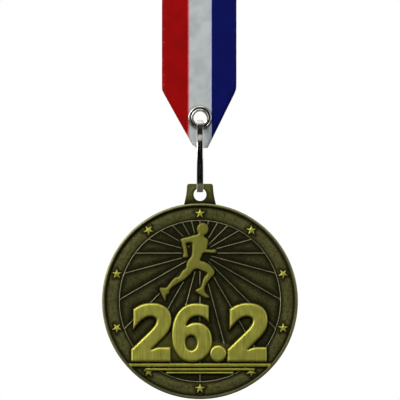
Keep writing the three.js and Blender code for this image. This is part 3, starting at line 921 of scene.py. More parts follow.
def cut_line(x):
    """Height of the cut end: square, a little uneven, with its visible corner snipped off."""
    snip = np.interp(x, (-5.5, -3.2, -1.2, -0.5), (0.28, 2.3, 0.6, 0.0))
    return tip_z + snip + 0.04 * np.sin(9 * x)


def upright_row(x, heights):
    return np.stack([np.full(len(heights), x), heights], axis=1)


def flat_end(layer):
    """Flat triangles (x, z) of one end of the strip."""
    face_points.clear()
    face_edges.clear()
    low = np.linspace(half_width, -half_width, 90)
    sides = np.linspace(tip_z + 0.6, zone_top_z - 0.7, side_count)
    top = np.stack([column_u, np.full(len(column_u), zone_top_z)], axis=1)
    border = np.concatenate([np.stack([low, cut_line(low)], 1), upright_row(-half_width, sides),
                             top, upright_row(half_width, sides[::-1])])
    add_chain(border, True)
    add_chain(circle(eyelet_spot, cloth_hole, hole_count), True)
    radius, start = layer["radius"], -layer["inset"] - layer["radius"]
    for side in (-1, 1):
        origin, along, across = crease(side)
        t = np.linspace(-1.5, 22, 40)
        for angle in np.linspace(0, math.pi, 7):
            row = origin + (start + angle * radius) * across + t[:, None] * along
            wanted = (np.abs(row[:, 0]) < half_width - 0.15) & (row[:, 0] * side > 0.1)
            wanted &= (row[:, 1] > cut_line(row[:, 0]) + 0.15) & (row[:, 1] < zone_top_z - 0.2)
            add_chain(row, False, wanted)
        around = unfolded(circle(eyelet_spot, cloth_hole, hole_count), layer, side)
        seam = unfolded(upright_row(side * trim_x, np.linspace(44, 61, 40)), layer, side)
        for row in (around, seam):
            wanted = np.abs(row[:, 0]) < half_width - 0.05
            wanted &= row[:, 1] > cut_line(row[:, 0]) + 0.05
            wanted &= (row - origin) @ across > start + math.pi * radius
            add_chain(row, False, wanted)
    mesh_x, mesh_z = np.meshgrid(np.arange(-10.6, 11, fill_step),
                                 np.arange(tip_z + 0.6, zone_top_z - 0.4, fill_step))
    fill = np.stack([mesh_x.ravel(), mesh_z.ravel()], axis=1) + 0.037

    def keep(middle):
        """True inside the strip, outside the eyelet's hole and short of the trim line."""
        wanted = (np.abs(middle[:, 0]) < half_width) & (middle[:, 1] < zone_top_z)
        wanted &= middle[:, 1] > cut_line(middle[:, 0])
        place_2d = folded(middle, np.zeros(len(middle)), layer)[:, [0, 2]]
        wanted &= np.linalg.norm(place_2d - eyelet_spot, axis=1) > cloth_hole * 0.998
        for side in (-1, 1):
            origin, _, across = crease(side)
            deep = (middle - origin) @ across > start + math.pi * radius
            deep &= middle[:, 0] * side > 0
            wanted &= ~(deep & (place_2d[:, 0] * side < trim_x))
        return wanted

    spots, faces = triangulated(np.concatenate(face_points + [fill]), face_edges, keep)
    return spots, upright(faces, spots)


# %% Joining the flat strip
strip_points, strip_faces = [], []
rows_v = route_v[zone_row:np.searchsorted(route_v, strip_length - route_v[zone_row] + 0.3)]
rows_v = np.append(rows_v[rows_v < strip_length - route_v[zone_row] - 0.2],
                   strip_length - route_v[zone_row])
grid_u, grid_v = np.meshgrid(column_u, rows_v)
strip_points.append(np.stack([grid_u.ravel(), grid_v.ravel()], axis=1))
across_count = len(column_u)
corner = (np.arange(len(rows_v) - 1)[:, None] * across_count + np.arange(across_count - 1)).ravel()
strip_faces.append(np.concatenate([
    np.stack([corner, corner + 1, corner + across_count + 1], 1),
    np.stack([corner, corner + across_count + 1, corner + across_count], 1)]))
for name in ("front", "rear"):
    spots, faces = flat_end(layers[name])
    v = spots[:, 1] - tip_z
    shift = sum(len(p) for p in strip_points)
    if name == "rear":
        v, faces = strip_length - v, faces[:, ::-1]
    strip_points.append(np.stack([spots[:, 0], v], axis=1))
    strip_faces.append(faces + shift)
strip = np.concatenate(strip_points)
keys = np.round(strip, 3)
_, first, same = np.unique(keys, axis=0, return_index=True, return_inverse=True)
strip, strip_faces = strip[first], same.reshape(-1)[np.concatenate(strip_faces)]
strip_faces = strip_faces[np.all(strip_faces != np.roll(strip_faces, 1, axis=1), axis=1)]
used, strip_faces = compact(strip_faces, len(strip))
strip = strip[used]
print(len(strip), "points on the flat strip")

# %% [markdown]
# ### The ribbon as one closed piece
#
# The strip is placed twice, half a thickness to each side, and its borders are joined by a
# rounded selvedge. Every point keeps its place on the flat strip for the weave and the stripes.

# %% The closed ribbon
u, v = strip.T
selvedge = np.clip((np.abs(u) - half_width + 0.5) / 0.5, 0, 1) ** 2
lift = cloth_half * (1 - 0.3 * selvedge)
outer, inner = cloth_point(u, v, lift), cloth_point(u, v, -lift)
rim_edges = open_edges(strip_faces)
rim_ids = np.unique(rim_edges)
bulge = np.where(np.abs(u[rim_ids]) > half_width - 0.01, 1 + 0.07 / half_width, 1)
middle = cloth_point(u[rim_ids] * bulge, v[rim_ids], np.zeros(len(rim_ids)))
count = len(strip)
rim_at = np.full(count, -1)
rim_at[rim_ids] = np.arange(len(rim_ids)) + 2 * count
walls = []
for a, b in rim_edges:
    for top in ((b, a, rim_at[a], rim_at[b]), (rim_at[b], rim_at[a], a + count, b + count)):
        walls += [top[:3], (top[0], top[2], top[3])]
ribbon_faces = np.concatenate([strip_faces, strip_faces[:, ::-1] + count, np.array(walls)])
ribbon = mesh_object("neck_ribbon", place(np.concatenate([outer, inner, middle])), ribbon_faces,
                     "ribbon", smooth_deg=55)
cloth_uv = np.concatenate([strip, strip, strip[rim_ids]]) * MM
store(ribbon, "cloth", np.column_stack([cloth_uv, np.zeros(len(cloth_uv))]))
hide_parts("ribbon_front_strap", "ribbon_rear_strap", "ribbon_hank", "ribbon_neck_loop")
loose = len(open_edges(ribbon_faces))
print(len(ribbon.data.polygons), "faces in the ribbon,", loose, "open edges")

# %% [markdown]
# ## Hardware
#
# The ring is a strip of flat spring wire wound nearly twice round, with one crossing from coil
# to coil, so it is swept along that path. The eyelet and its washer are turned shapes. The
# stored ribbon is held by a wide elastic, which is a rounded strip bent round the hank.


# %% Sweeping and turning
def swept(rings, closed):
    """Faces between rings of points; each ring is a closed section."""
    rings = np.asarray(rings)
    count, size = rings.shape[:2]
    here = np.arange(count if closed else count - 1)
    there = (here + 1) % count
    k = np.arange(size)
    faces = [(i * size + a, i * size + b, j * size + b, j * size + a)
             for i, j in zip(here, there) for a, b in zip(k, (k + 1) % size)]
    points = rings.reshape(-1, 3)
    if not closed:
        faces += [tuple(k[::-1]), tuple((count - 1) * size + k)]
    return points, faces


def rounded_section(half_a, half_b, radius, corner_steps=4):
    """A rectangle with round corners, as points (a, b)."""
    made = []
    for sign_a, sign_b, start in ((1, 1, 0), (-1, 1, 90), (-1, -1, 180), (1, -1, 270)):
        for i in range(corner_steps + 1):
            angle = math.radians(start + 90 * i / corner_steps)
            made.append((sign_a * (half_a - radius) + radius * math.cos(angle),
                         sign_b * (half_b - radius) + radius * math.sin(angle)))
    return np.array(made)


turned_steps = 96


def turned(profile, centre_z):
    """A closed profile of (radius, y) turned about a line along Y."""
    rings = []
    for angle in np.arange(turned_steps) * 2 * math.pi / turned_steps:
        x_way, z_way = math.sin(angle), math.cos(angle)
        rings.append([(r * x_way, y, centre_z + r * z_way) for r, y in profile])
    return swept(rings, True)


def solid(name, points, faces, body, smooth_deg=60):
    """A closed piece from points in millimetres, with its faces turned outwards."""
    obj = mesh_object(name, place(points), faces, body, smooth_deg)
    shape = bmesh.new()
    shape.from_mesh(obj.data)
    bmesh.ops.recalc_face_normals(shape, faces=shape.faces)
    shape.to_mesh(obj.data)
    shape.free()
    return obj


# %% [markdown]
# ### The split ring
#
# The two coils lie flat on each other, and near the ends of the wire one crosses over to the
# other side. A number at each point is 1 along the wire's outer edges, where it paints a
# highlight. It rises to 2 at the top and the bottom bend, which chafe in the eyelet and in the
# tab: there the wire has gone dull with wear and is painted pale as well.

# %% Split ring
ring_outer = (ring_high.z - ring_low.z) / 2 / MM
wire_wall, wire_width = 0.8, 1.0
coil_offset = 0.502
lap = math.radians(16)
corner_outside, corner_inside = 0.34, 0.02
ring_steps = 330
end_taper = 0.12
section_step = 0.17
wear_above, wear_below = 0.84, -0.72


def wire_section(crossing):
    """The wire's section; its corners are round on the outside and tight between the coils."""
    left = corner_outside + (corner_inside - corner_outside) * crossing
    right = corner_inside + (corner_outside - corner_inside) * crossing
    lefts = rounded_section(wire_width / 2, wire_wall / 2, left)
    rights = rounded_section(wire_width / 2, wire_wall / 2, right)
    return np.where(lefts[:, :1] < 0, lefts, rights)


# How much painted highlight each point of the section gets, for the right and then the left
# outer corner and then the inner side of the ring.
right_corner, left_corner = [1, 1, 0.9, 0.5, 0], [0, 0.5, 0.9, 1, 1]
inner_side = [1] * 10

ring_rings, highlight_and_wear_rings = [], []
sweep = np.linspace(lap, 4 * math.pi - lap, ring_steps)
for i, angle in enumerate(sweep):
    crossing = eased((angle - 2 * math.pi + lap / 2) / lap)
    end_gap = min(i, len(sweep) - 1 - i)
    close = 1 - end_taper * max(0, 2 - end_gap) / 2
    x = (2 * crossing - 1) * coil_offset
    section = wire_section(crossing)
    reach = ring_outer - wire_wall / 2 + section[:, 1] * close
    height = math.sin(angle)
    # The top and the bottom bend are worn dull and painted pale.
    worn_and_painted_pale = max(eased((height - wear_above) / 0.08), eased((wear_below - height) / 0.1))
    highlight_and_wear = np.array(right_corner + left_corner + inner_side, float)
    highlight_and_wear[:5] *= crossing
    highlight_and_wear[5:10] *= 1 - crossing
    highlight_and_wear_rings.append(np.maximum(highlight_and_wear, 2 * worn_and_painted_pale))
    ring_rings.append(np.stack([x + section[:, 0] * close, reach * math.cos(angle),
                                ring_z + reach * math.sin(angle)], axis=1))
points, faces = swept(ring_rings, False)
ring = solid("key_ring", points, faces, "ring", 50)
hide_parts("split_ring")
around_wire = np.repeat(sweep * ring_outer, len(section))
across_wire = np.tile(np.arange(len(section)) * section_step, len(sweep))
store(ring, "wire", np.stack([around_wire, across_wire, 0 * around_wire], 1) * MM)
store(ring, "highlight_and_wear", np.concatenate(highlight_and_wear_rings))
print(len(ring.data.polygons), "faces in the ring")


# %% [markdown]
# ### Eyelet and washer
#
# The eyelet is drawn as half a section: a rolled lip, a groove pressed round it, a thin flange
# and the barrel, whose end is rolled over the washer behind. `groove` marks the groove, which is
# painted near black. Both profiles are closed and run the same way round.

# %% Eyelet and washer
def arc(centre, radius, start_deg, end_deg, count):
    """Points (radius, y) of a rolled edge."""
    angles = np.radians(np.linspace(start_deg, end_deg, count))
    return [(centre[0] + radius * math.cos(a), centre[1] + radius * math.sin(a)) for a in angles]


flange = eyelet_high.x / MM
eyelet_front, eyelet_back = eyelet_low.y / MM, eyelet_high.y / MM
bore = 1.95
front_roll, rear_roll = 0.4, 0.325
eyelet_profile = arc((bore + front_roll, eyelet_front + front_roll), front_roll, 180, 345, 14)
eyelet_profile += [
    (2.78, -1.5), (2.84, -1.38), (2.94, -1.34), (3.03, -1.4), (3.08, -1.6), (3.15, -1.7),
    (3.25, -1.71), (3.4, -1.66), (3.52, -1.58), (flange - 0.05, -1.46), (flange, -1.28),
    (flange - 0.06, -1.1), (flange - 0.2, -1.08), (3.2, -1.1), (2.9, -1.08), (2.6, -1.12),
    (2.38, -1.2), (2.3, -1.15), (2.3, 1.3)]
eyelet_profile += arc((bore + rear_roll, eyelet_back - rear_roll), rear_roll, -70, 180, 16)
points, faces = turned(eyelet_profile, eyelet_z)
eyelet = solid("ribbon_eyelet", points, faces, "ribbon")
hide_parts("eyelet")
in_groove = [float(2.76 < r < 3.07 and -1.62 < y < -1.3) for r, y in eyelet_profile]
store(eyelet, "groove", np.tile(in_groove, turned_steps))

washer_profile = [
    (2.62, 1.3), (2.66, 1.4), (2.78, 1.43), (2.95, 1.38), (3.2, 1.26), (3.42, 1.22),
    (3.58, 1.17), (flange, 1.05), (flange - 0.03, 0.96), (3.4, 0.95), (3.1, 1.0), (2.8, 1.14)]
points, faces = turned(washer_profile, eyelet_z)
washer = solid("clench_washer", points, faces, "ribbon")
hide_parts("eyelet_washer")
print(len(eyelet.data.polygons) + len(washer.data.polygons), "faces in the eyelet set")

# %% Elastic round the hank
band_low, band_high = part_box("hank_band")
band_middle_z = up((band_low.z + band_high.z) / 2)
elastic_half, elastic_half_height = 0.45, 2.9
side_room, face_room = 0.16, 0.08
corner_radius = 1.3
half_x = half_width + side_room + elastic_half
low_y = hank_front_y - face_room - elastic_half
high_y = hank_back_y + face_room + elastic_half
band_path = rounded_section(half_x, (high_y - low_y) / 2, corner_radius, 8)
band_path = spaced_loop(band_path, 0.8)
elastic = rounded_section(elastic_half, elastic_half_height, 0.3, 3)
elastic = spaced_loop(elastic, 0.55)
ways = np.roll(band_path, -1, axis=0) - np.roll(band_path, 1, axis=0)
ways /= np.linalg.norm(ways, axis=1)[:, None]
band_rings = []
for i, ((x, y), (wx, wy)) in enumerate(zip(band_path, ways)):
    pinch = 1 - 0.02 * math.sin(i * 0.7)
    swell = elastic[:, 0] * (1 + 0.12 * np.cos(elastic[:, 1] / elastic_half_height * math.pi))
    band_rings.append(np.stack([x + swell * wy, y + (low_y + high_y) / 2 - swell * wx,
                                band_middle_z + elastic[:, 1] * pinch], axis=1))
points, faces = swept(band_rings, True)
tie = solid("tie_elastic_loop", points, faces, "ribbon")
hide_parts("hank_band")
print(len(tie.data.polygons), "faces in the elastic")

# %% [markdown]

# %% [markdown]
# ## Finishes
#
# Every finish here is made of the same few effects at different sizes: a fine grain, lines from
# brushing or drawing, soft smudges and a weave. Each effect is a node group, so a change to
# how grain works reaches every metal at once. The groups give out only numbers that vary over
# the surface, and the shader itself stays in each material.


# %% Helpers for nodes
def put(tree, kind, feeds=None, **settings):
    """Adds a node. feeds gives its inputs: a plain value, or the output of another node."""
    node = tree.nodes.new(kind)
    for key, value in settings.items():
        setattr(node, key, value)
    for name, value in (feeds or {}).items():
        if isinstance(value, bpy.types.NodeSocket):
            tree.links.new(value, node.inputs[name])
        else:
            node.inputs[name].default_value = value
    return node


def maths(tree, operation, a, b=0.0, clamp=False):
    node = put(tree, "ShaderNodeMath", {0: a, 1: b}, operation=operation, use_clamp=clamp)
    return node.outputs[0]


def scaled(tree, value, factor, plus, clamp=False):
    """value times factor, plus a number or another value."""
    return maths(tree, "ADD", maths(tree, "MULTIPLY", value, factor), plus, clamp)


def between(tree, value, low, high, out_low=0.0, out_high=1.0):
    """A smooth ramp of value from low..high to out_low..out_high."""
    feeds = {"Value": value, "From Min": low, "From Max": high,
             "To Min": out_low, "To Max": out_high}
    node = put(tree, "ShaderNodeMapRange", feeds, interpolation_type="SMOOTHSTEP")
    return node.outputs["Result"]


def mixed(tree, share, a, b):
    """Colour a, turning into colour b as share goes from 0 to 1."""
    a, b = ((*colour, 1) if isinstance(colour, tuple) else colour for colour in (a, b))
    return put(tree, "ShaderNodeMix", {0: share, 6: a, 7: b}, data_type="RGBA").outputs[2]


def dimmed(tree, colour, share):
    """A colour times a number."""
    return put(tree, "ShaderNodeVectorMath", {0: colour, 3: share}, operation="SCALE").outputs[0]


def noise(tree, place, scale, **feeds):
    feeds = {"Vector": place, "Scale": scale, **feeds}
    return put(tree, "ShaderNodeTexNoise", feeds).outputs["Fac"]


def new_group(name, inputs, outputs):
    """A node group with number inputs, or a vector where the default is None."""
    tree = bpy.data.node_groups.new(name, "ShaderNodeTree")
    for label, default in inputs.items():
        kind = "NodeSocketVector" if default is None else "NodeSocketFloat"
        socket = tree.interface.new_socket(label, in_out="INPUT", socket_type=kind)
        if default is not None:
            socket.default_value = default
    for label in outputs:
        tree.interface.new_socket(label, in_out="OUTPUT", socket_type="NodeSocketFloat")
    return tree, tree.nodes.new("NodeGroupInput").outputs, tree.nodes.new("NodeGroupOutput").inputs


def use_group(tree, group, feeds):
    return put(tree, "ShaderNodeGroup", feeds, node_tree=group).outputs


def new_material(name):
    """A material, its node tree and its shader."""
    material = bpy.data.materials.new(name)
    material.use_nodes = True
    tree = material.node_tree
    return material, tree, tree.nodes["Principled BSDF"]


def place_of(tree):
    """Coordinates in metres that travel with the piece."""
    return put(tree, "ShaderNodeTexCoord").outputs["Object"]


def stored(tree, name, output="Fac"):
    """What the mesh keeps under a name."""
    return put(tree, "ShaderNodeAttribute", attribute_name=name).outputs[output]


def paint(tree, shader, **feeds):
    """Feeds the shader: values into inputs whose names are written with underscores."""
    for name, value in feeds.items():
        tree.links.new(value, shader.inputs[name.replace("_", " ")])


def embossed(tree, height, strength, distance):
    """A surface direction tilted by a height that varies over the surface."""
    feeds = {"Height": height, "Strength": strength, "Distance": distance}
    return put(tree, "ShaderNodeBump", feeds).outputs[0]


print("node helpers ready")

# %% [markdown]
# ### Grain
#
# A sand-blasted or cast surface is a crowd of pits of mixed size. Two noises, one about four
# times finer than the other, give that without looking like a pattern.

# %% Group: grain
grain, g_in, g_out = new_group("fine_grain", {"Place": None, "Grain Size": 0.00018, "Depth": 1.0},
                               ["Mask", "Height"])
often = maths(grain, "DIVIDE", 1.0, g_in["Grain Size"])
coarse_noise = noise(grain, g_in["Place"], often, Detail=2.0, Roughness=0.6)
fine_noise = noise(grain, g_in["Place"], maths(grain, "MULTIPLY", often, 3.7), Detail=1.0)
blend = scaled(grain, coarse_noise, 0.65, maths(grain, "MULTIPLY", fine_noise, 0.35))
grain.links.new(between(grain, blend, 0.36, 0.64), g_out["Mask"])
grain.links.new(maths(grain, "MULTIPLY", blend, g_in["Depth"]), g_out["Height"])
print("group", grain.name)

# %% [markdown]
# ### Lines
#
# Brushing leaves fine parallel lines, and so does drawing wire through a die. They are a noise
# pulled out along one way. The group takes the stretched coordinates through a vector scale, so
# the same lines can run up the numerals, round a wire or across a washer.

# %% Group: lines
lines, l_in, l_out = new_group(
    "drawn_lines", {"Place": None, "Per Metre X": 6000.0, "Per Metre Y": 6000.0,
                    "Per Metre Z": 300.0}, ["Mask", "Height"])
ways = put(lines, "ShaderNodeCombineXYZ", {"X": l_in["Per Metre X"], "Y": l_in["Per Metre Y"],
                                           "Z": l_in["Per Metre Z"]}).outputs[0]
pulled = put(lines, "ShaderNodeVectorMath", {0: l_in["Place"], 1: ways}, operation="MULTIPLY")
streak = noise(lines, pulled.outputs[0], 1.0, Detail=3.0, Roughness=0.65)
lines.links.new(between(lines, streak, 0.35, 0.68), l_out["Mask"])
lines.links.new(streak, l_out["Height"])
print("group", lines.name)

# %% [markdown]
# ### Smudges
#
# Handled metal and stored cloth are never even. A soft, large noise with a sharper one inside
# it varies gloss and tone a little.

# %% Group: smudges
smudge, s_in, s_out = new_group(
    "soft_smudges", {"Place": None, "Size": 0.006, "Low": 0.0, "High": 1.0}, ["Value"])
often = maths(smudge, "DIVIDE", 1.0, s_in["Size"])
cloud = noise(smudge, s_in["Place"], often, Detail=4.0, Roughness=0.55, Distortion=0.4)
smudge.links.new(between(smudge, cloud, 0.3, 0.7, s_in["Low"], s_in["High"]), s_out["Value"])
print("group", smudge.name)

# %% [markdown]
# ### Weave
#
# In a woven ribbon the warp threads run along the strip and the weft crosses them. In a satin
# each warp thread floats over several wefts and dips under one, and its neighbours dip
# elsewhere. The group makes rounded threads from a sine across, and their dips from a sine
# along that is moved on by a share of its length from each thread to the next.

# %% Group: weave
weave, w_in, w_out = new_group(
    "weave", {"Across": 0.0, "Along": 0.0, "Thread": 0.00026, "Float": 0.0011, "Step": 0.4},
    ["Height", "Dip"])


def arches(value, power):
    """A row of arches, one for each whole step of value."""
    wave = maths(weave, "SINE", maths(weave, "MULTIPLY", value, math.pi))
    return maths(weave, "POWER", maths(weave, "ABSOLUTE", wave), power)


thread_at = maths(weave, "DIVIDE", w_in["Across"], w_in["Thread"])
thread_number = maths(weave, "FLOOR", thread_at)
along_at = maths(weave, "ADD", maths(weave, "DIVIDE", w_in["Along"], w_in["Float"]),
                 maths(weave, "MULTIPLY", thread_number, w_in["Step"]))
dip = arches(along_at, 0.35)
height = maths(weave, "MULTIPLY", arches(thread_at, 0.6), scaled(weave, dip, 0.55, 0.45))
weave.links.new(height, w_out["Height"])
weave.links.new(maths(weave, "SUBTRACT", 1.0, dip), w_out["Dip"])
print("group", weave.name)

# %% [markdown]
# ### Antique gold
#
# Antique gold is plating that is dipped almost black and then buffed. The buff takes the dark
# coat off whatever stands high, and it stays in the corners. `bare` and `cove` from the mesh
# say where that is, and grain breaks the border up. The field keeps a blasted texture and the
# high tops show upright brushing.

# %% Antique gold
GOLD_TOP_LOW, GOLD_TOP_HIGH = (0.49, 0.475, 0.075), (0.6, 0.585, 0.112)
GOLD_PALE = (0.46, 0.45, 0.24)
GOLD_FIELD, GOLD_DARK = (0.105, 0.102, 0.034), (0.005, 0.004, 0.002)
gold, tree, shader = new_material("antique_gold")
where = place_of(tree)
bare_here, cove_here = stored(tree, "bare"), stored(tree, "cove")
blast = use_group(tree, grain, {"Place": where, "Grain Size": 0.00021})
brushed = use_group(tree, lines, {"Place": where, "Per Metre X": 5200.0, "Per Metre Y": 900.0,
                                  "Per Metre Z": 260.0})
tone = use_group(tree, smudge, {"Place": where, "Size": 0.005, "Low": 0.88, "High": 1.1})["Value"]
mottle = use_group(tree, smudge, {"Place": where, "Size": 0.0008,
                                  "Low": 0.65, "High": 1.35})["Value"]
ragged = maths(tree, "MULTIPLY", maths(tree, "SUBTRACT", blast["Mask"], 0.5), 0.3)
cove_mask = maths(tree, "ADD", cove_here, ragged, clamp=True)
bare_mask = scaled(tree, ragged, 0.35, bare_here, clamp=True)
field = dimmed(tree, mixed(tree, cove_mask, GOLD_FIELD, GOLD_DARK), mottle)
tops = mixed(tree, brushed["Mask"], GOLD_TOP_LOW, GOLD_TOP_HIGH)
tops = mixed(tree, stored(tree, "pale"), tops, GOLD_PALE)
metal = dimmed(tree, mixed(tree, bare_mask, field, tops), tone)
roughness = scaled(tree, brushed["Mask"], 0.1, between(tree, bare_mask, 0.1, 0.9, 0.6, 0.44))
blast_share = between(tree, bare_here, 0.2, 0.9, 1.0, 0.12)
brush_share = between(tree, bare_here, 0.5, 0.95, 0.0, 0.35)
relief = maths(tree, "ADD", maths(tree, "MULTIPLY", blast["Height"], blast_share),
               maths(tree, "MULTIPLY", brushed["Height"], brush_share))
paint(tree, shader, Base_Color=metal, Roughness=roughness,
      Metallic=between(tree, bare_mask, 0.0, 0.7, 0.94, 0.98),
      Normal=embossed(tree, relief, 0.8, 0.00006))
medallion.data.materials.append(gold)
print("finish", gold.name)

# %% [markdown]
# ### Nickel and steel
#
# The eyelet and washer are thin brass sheet with bright nickel on it: smooth, faintly yellow,
# and painted near black in the pressed groove. The ring's wire is drawn, so its lines run along
# the wire, and it carries small scuffs from being opened.

# %% Nickel
NICKEL_LIGHT, NICKEL_DULL = (0.52, 0.51, 0.465), (0.26, 0.25, 0.215)
GROOVE_DARK = (0.03, 0.028, 0.022)
nickel, tree, shader = new_material("eyelet_nickel")
where = place_of(tree)
pits = use_group(tree, grain, {"Place": where, "Grain Size": 0.0003})
dull = use_group(tree, smudge, {"Place": where, "Size": 0.0024, "Low": 0.0, "High": 0.35})["Value"]
plated = mixed(tree, dull, NICKEL_LIGHT, NICKEL_DULL)
# The groove is painted near black, broken up a little by the pits.
groove_darkened = maths(tree, "MULTIPLY", stored(tree, "groove"),
                  scaled(tree, pits["Mask"], 0.2, 0.8), clamp=True)
paint(tree, shader, Base_Color=mixed(tree, groove_darkened, plated, GROOVE_DARK),
      Roughness=scaled(tree, dull, 0.15, 0.26),
      Normal=embossed(tree, pits["Height"], 0.12, 0.00001))
shader.inputs["Metallic"].default_value = 1.0
for piece in (eyelet, washer):
    piece.data.materials.append(nickel)
print("finish", nickel.name)

# %% [markdown]
# The ring's flat faces carry drawn lines and a painted dark reflection, its edges a painted
# highlight. Where it chafes, the highlight value passes 1: the wire there is rough, its dull film
# of wear shines less like metal, and it is painted pale.

# %% Ring steel
STEEL_HIGHLIGHT_AND_WEAR = (0.74, 0.73, 0.68)
STEEL_DARK_REFLECTION, STEEL_DARKEST_REFLECTION = (0.07, 0.067, 0.06), (0.025, 0.024, 0.021)
steel, tree, shader = new_material("ring_steel")
along_wire = stored(tree, "wire", "Vector")
drawn_wire = use_group(tree, lines, {"Place": along_wire, "Per Metre X": 250.0,
                                     "Per Metre Y": 9000.0, "Per Metre Z": 1.0})
scuffs = use_group(tree, smudge, {"Place": place_of(tree), "Size": 0.0022,
                                  "Low": 0.0, "High": 0.45})["Value"]
highlight_and_wear_here = scaled(tree, scuffs, 0.12, stored(tree, "highlight_and_wear"))
# Painted dark reflection on the faces, painted highlight on the edges, pale paint on the worn
# bends.
face_painted_reflection = mixed(tree, drawn_wire["Mask"], STEEL_DARKEST_REFLECTION, STEEL_DARK_REFLECTION)
paint(tree, shader, Base_Color=mixed(tree, highlight_and_wear_here, face_painted_reflection, STEEL_HIGHLIGHT_AND_WEAR),
      Roughness=between(tree, highlight_and_wear_here, 0.0, 2.0, 0.12, 0.6),
      Metallic=between(tree, highlight_and_wear_here, 1.1, 2.0, 1.0, 0.2),
      Normal=embossed(tree, drawn_wire["Height"], 0.1, 0.00001))
ring.data.materials.append(steel)
print("finish", steel.name)

# %% [markdown]
# ### Ribbon cloth
#
# The three stripes are dyed warp threads, so their borders follow single threads. At each
# border one thread of the pale stripe picks up a little of its neighbour's dye. Along the two
# selvedges the weft turns back and shows as pale flecks.

# %% Ribbon cloth
CLOTH_RED, CLOTH_PINK, CLOTH_WHITE = (0.29, 0.001, 0.001), (0.58, 0.14, 0.16), (0.445, 0.48, 0.475)
CLOTH_PALE_BLUE, CLOTH_BLUE = (0.36, 0.46, 0.66), (0.002, 0.004, 0.09)
CLOTH_FLECK = (0.5, 0.45, 0.46)
stripe_edge_low, stripe_edge_high = -3.7, 3.55
cloth, tree, shader = new_material("ribbon_cloth")
flat_cloth = stored(tree, "cloth", "Vector")
parts = put(tree, "ShaderNodeSeparateXYZ", {0: flat_cloth}).outputs
threads = use_group(tree, weave, {"Across": parts[0], "Along": parts[1]})
uneven = use_group(tree, smudge, {"Place": flat_cloth, "Size": 0.0045,
                                  "Low": 0.86, "High": 1.08})["Value"]
fuzz = use_group(tree, grain, {"Place": flat_cloth, "Grain Size": 0.00035})
ragged = maths(tree, "MULTIPLY", maths(tree, "SUBTRACT", fuzz["Mask"], 0.5), 0.00012)
u_here = maths(tree, "ADD", parts[0], ragged)


def past(edge_mm, soft_mm=0.05):
    """0 to the left of a border between stripes and 1 to its right."""
    return between(tree, u_here, (edge_mm - soft_mm) * MM, (edge_mm + soft_mm) * MM)


colour = mixed(tree, past(stripe_edge_low), CLOTH_RED, CLOTH_PINK)
colour = mixed(tree, past(stripe_edge_low + 0.42, 0.14), colour, CLOTH_WHITE)
colour = mixed(tree, past(stripe_edge_high - 0.32, 0.14), colour, CLOTH_PALE_BLUE)
colour = mixed(tree, past(stripe_edge_high), colour, CLOTH_BLUE)
edge_near = between(tree, maths(tree, "ABSOLUTE", parts[0]),
                    (half_width - 0.16) * MM, (half_width - 0.02) * MM)
flecks = use_group(tree, lines, {"Place": flat_cloth, "Per Metre X": 900.0, "Per Metre Y": 700.0,
                                 "Per Metre Z": 1.0})["Mask"]
fleck = maths(tree, "MULTIPLY", edge_near, between(tree, flecks, 0.7, 0.95))
colour = mixed(tree, maths(tree, "MULTIPLY", fleck, 0.3), colour, CLOTH_FLECK)
shade = maths(tree, "MULTIPLY", uneven, scaled(tree, threads["Height"], 0.42, 0.7))
# A painted shadow greys the cloth in a ring round the eyelet's flange.
eyelet_flat = (0, (eyelet_z - tip_z) * MM, 0)
from_eyelet = put(tree, "ShaderNodeVectorMath", {0: flat_cloth, 1: eyelet_flat},
                  operation="DISTANCE").outputs["Value"]
eyelet_shadow = between(tree, from_eyelet, 3.4 * MM, 4.3 * MM, 0.66, 1.0)
colour = dimmed(tree, colour, maths(tree, "MULTIPLY", shade, eyelet_shadow))
relief = scaled(tree, fuzz["Height"], 0.4, threads["Height"])
paint(tree, shader, Base_Color=colour, Roughness=scaled(tree, threads["Dip"], 0.15, 0.62),
      Normal=embossed(tree, relief, 0.5, 0.00005))
shader.inputs["Sheen Weight"].default_value = 0.02
shader.inputs["Sheen Roughness"].default_value = 0.4
shader.inputs["Specular IOR Level"].default_value = 0.05
ribbon.data.materials.append(cloth)
print("finish", cloth.name)

# %% [markdown]
# ### Tie elastic
#
# The elastic round the stored ribbon is black braided tape. It uses the same weave with
# thicker threads. Height is the way across it. X plus Y stands for the way round it, which
# works because each side of the band runs along one of the two.

# %% Tie elastic
ELASTIC_SHADED, ELASTIC_LIT, LINT = (0.006, 0.006, 0.007), (0.036, 0.036, 0.04), (0.2, 0.2, 0.2)
elastic_cloth, tree, shader = new_material("tie_elastic")
parts = put(tree, "ShaderNodeSeparateXYZ", {0: place_of(tree)}).outputs
round_way = maths(tree, "ADD", parts[0], parts[1])
braid = use_group(tree, weave, {"Across": parts[2], "Along": round_way, "Thread": 0.0006,
                                "Float": 0.0013, "Step": 0.5})
lint = use_group(tree, grain, {"Place": place_of(tree), "Grain Size": 0.0004})
# The braid's raised threads are painted lit and the dips between them painted in shade.
colour = mixed(tree, maths(tree, "MULTIPLY", braid["Height"], 0.8), ELASTIC_SHADED, ELASTIC_LIT)
colour = mixed(tree, maths(tree, "MULTIPLY", lint["Mask"], 0.07), colour, LINT)
paint(tree, shader, Base_Color=colour,
      Roughness=between(tree, lint["Mask"], 0.0, 1.0, 0.72, 0.88),
      Normal=embossed(tree, braid["Height"], 0.7, 0.00015))
shader.inputs["Sheen Weight"].default_value = 0.03
tie.data.materials.append(elastic_cloth)
print("finish", elastic_cloth.name)

# %% [markdown]
# ## Stage and light
#
# The camera sees an even white surround. Bright metal shows whatever stands round it: the round
# edges of the wire pick up the white, while its face sees the dark side where the camera is. So
# for everything but the camera the surround is bright at the sides and behind, dim overhead and
# dark in front. A soft key light comes from the upper left. The floor well below is pale paper
# to the camera and dark to the metal, whose lower edges would otherwise turn grey.

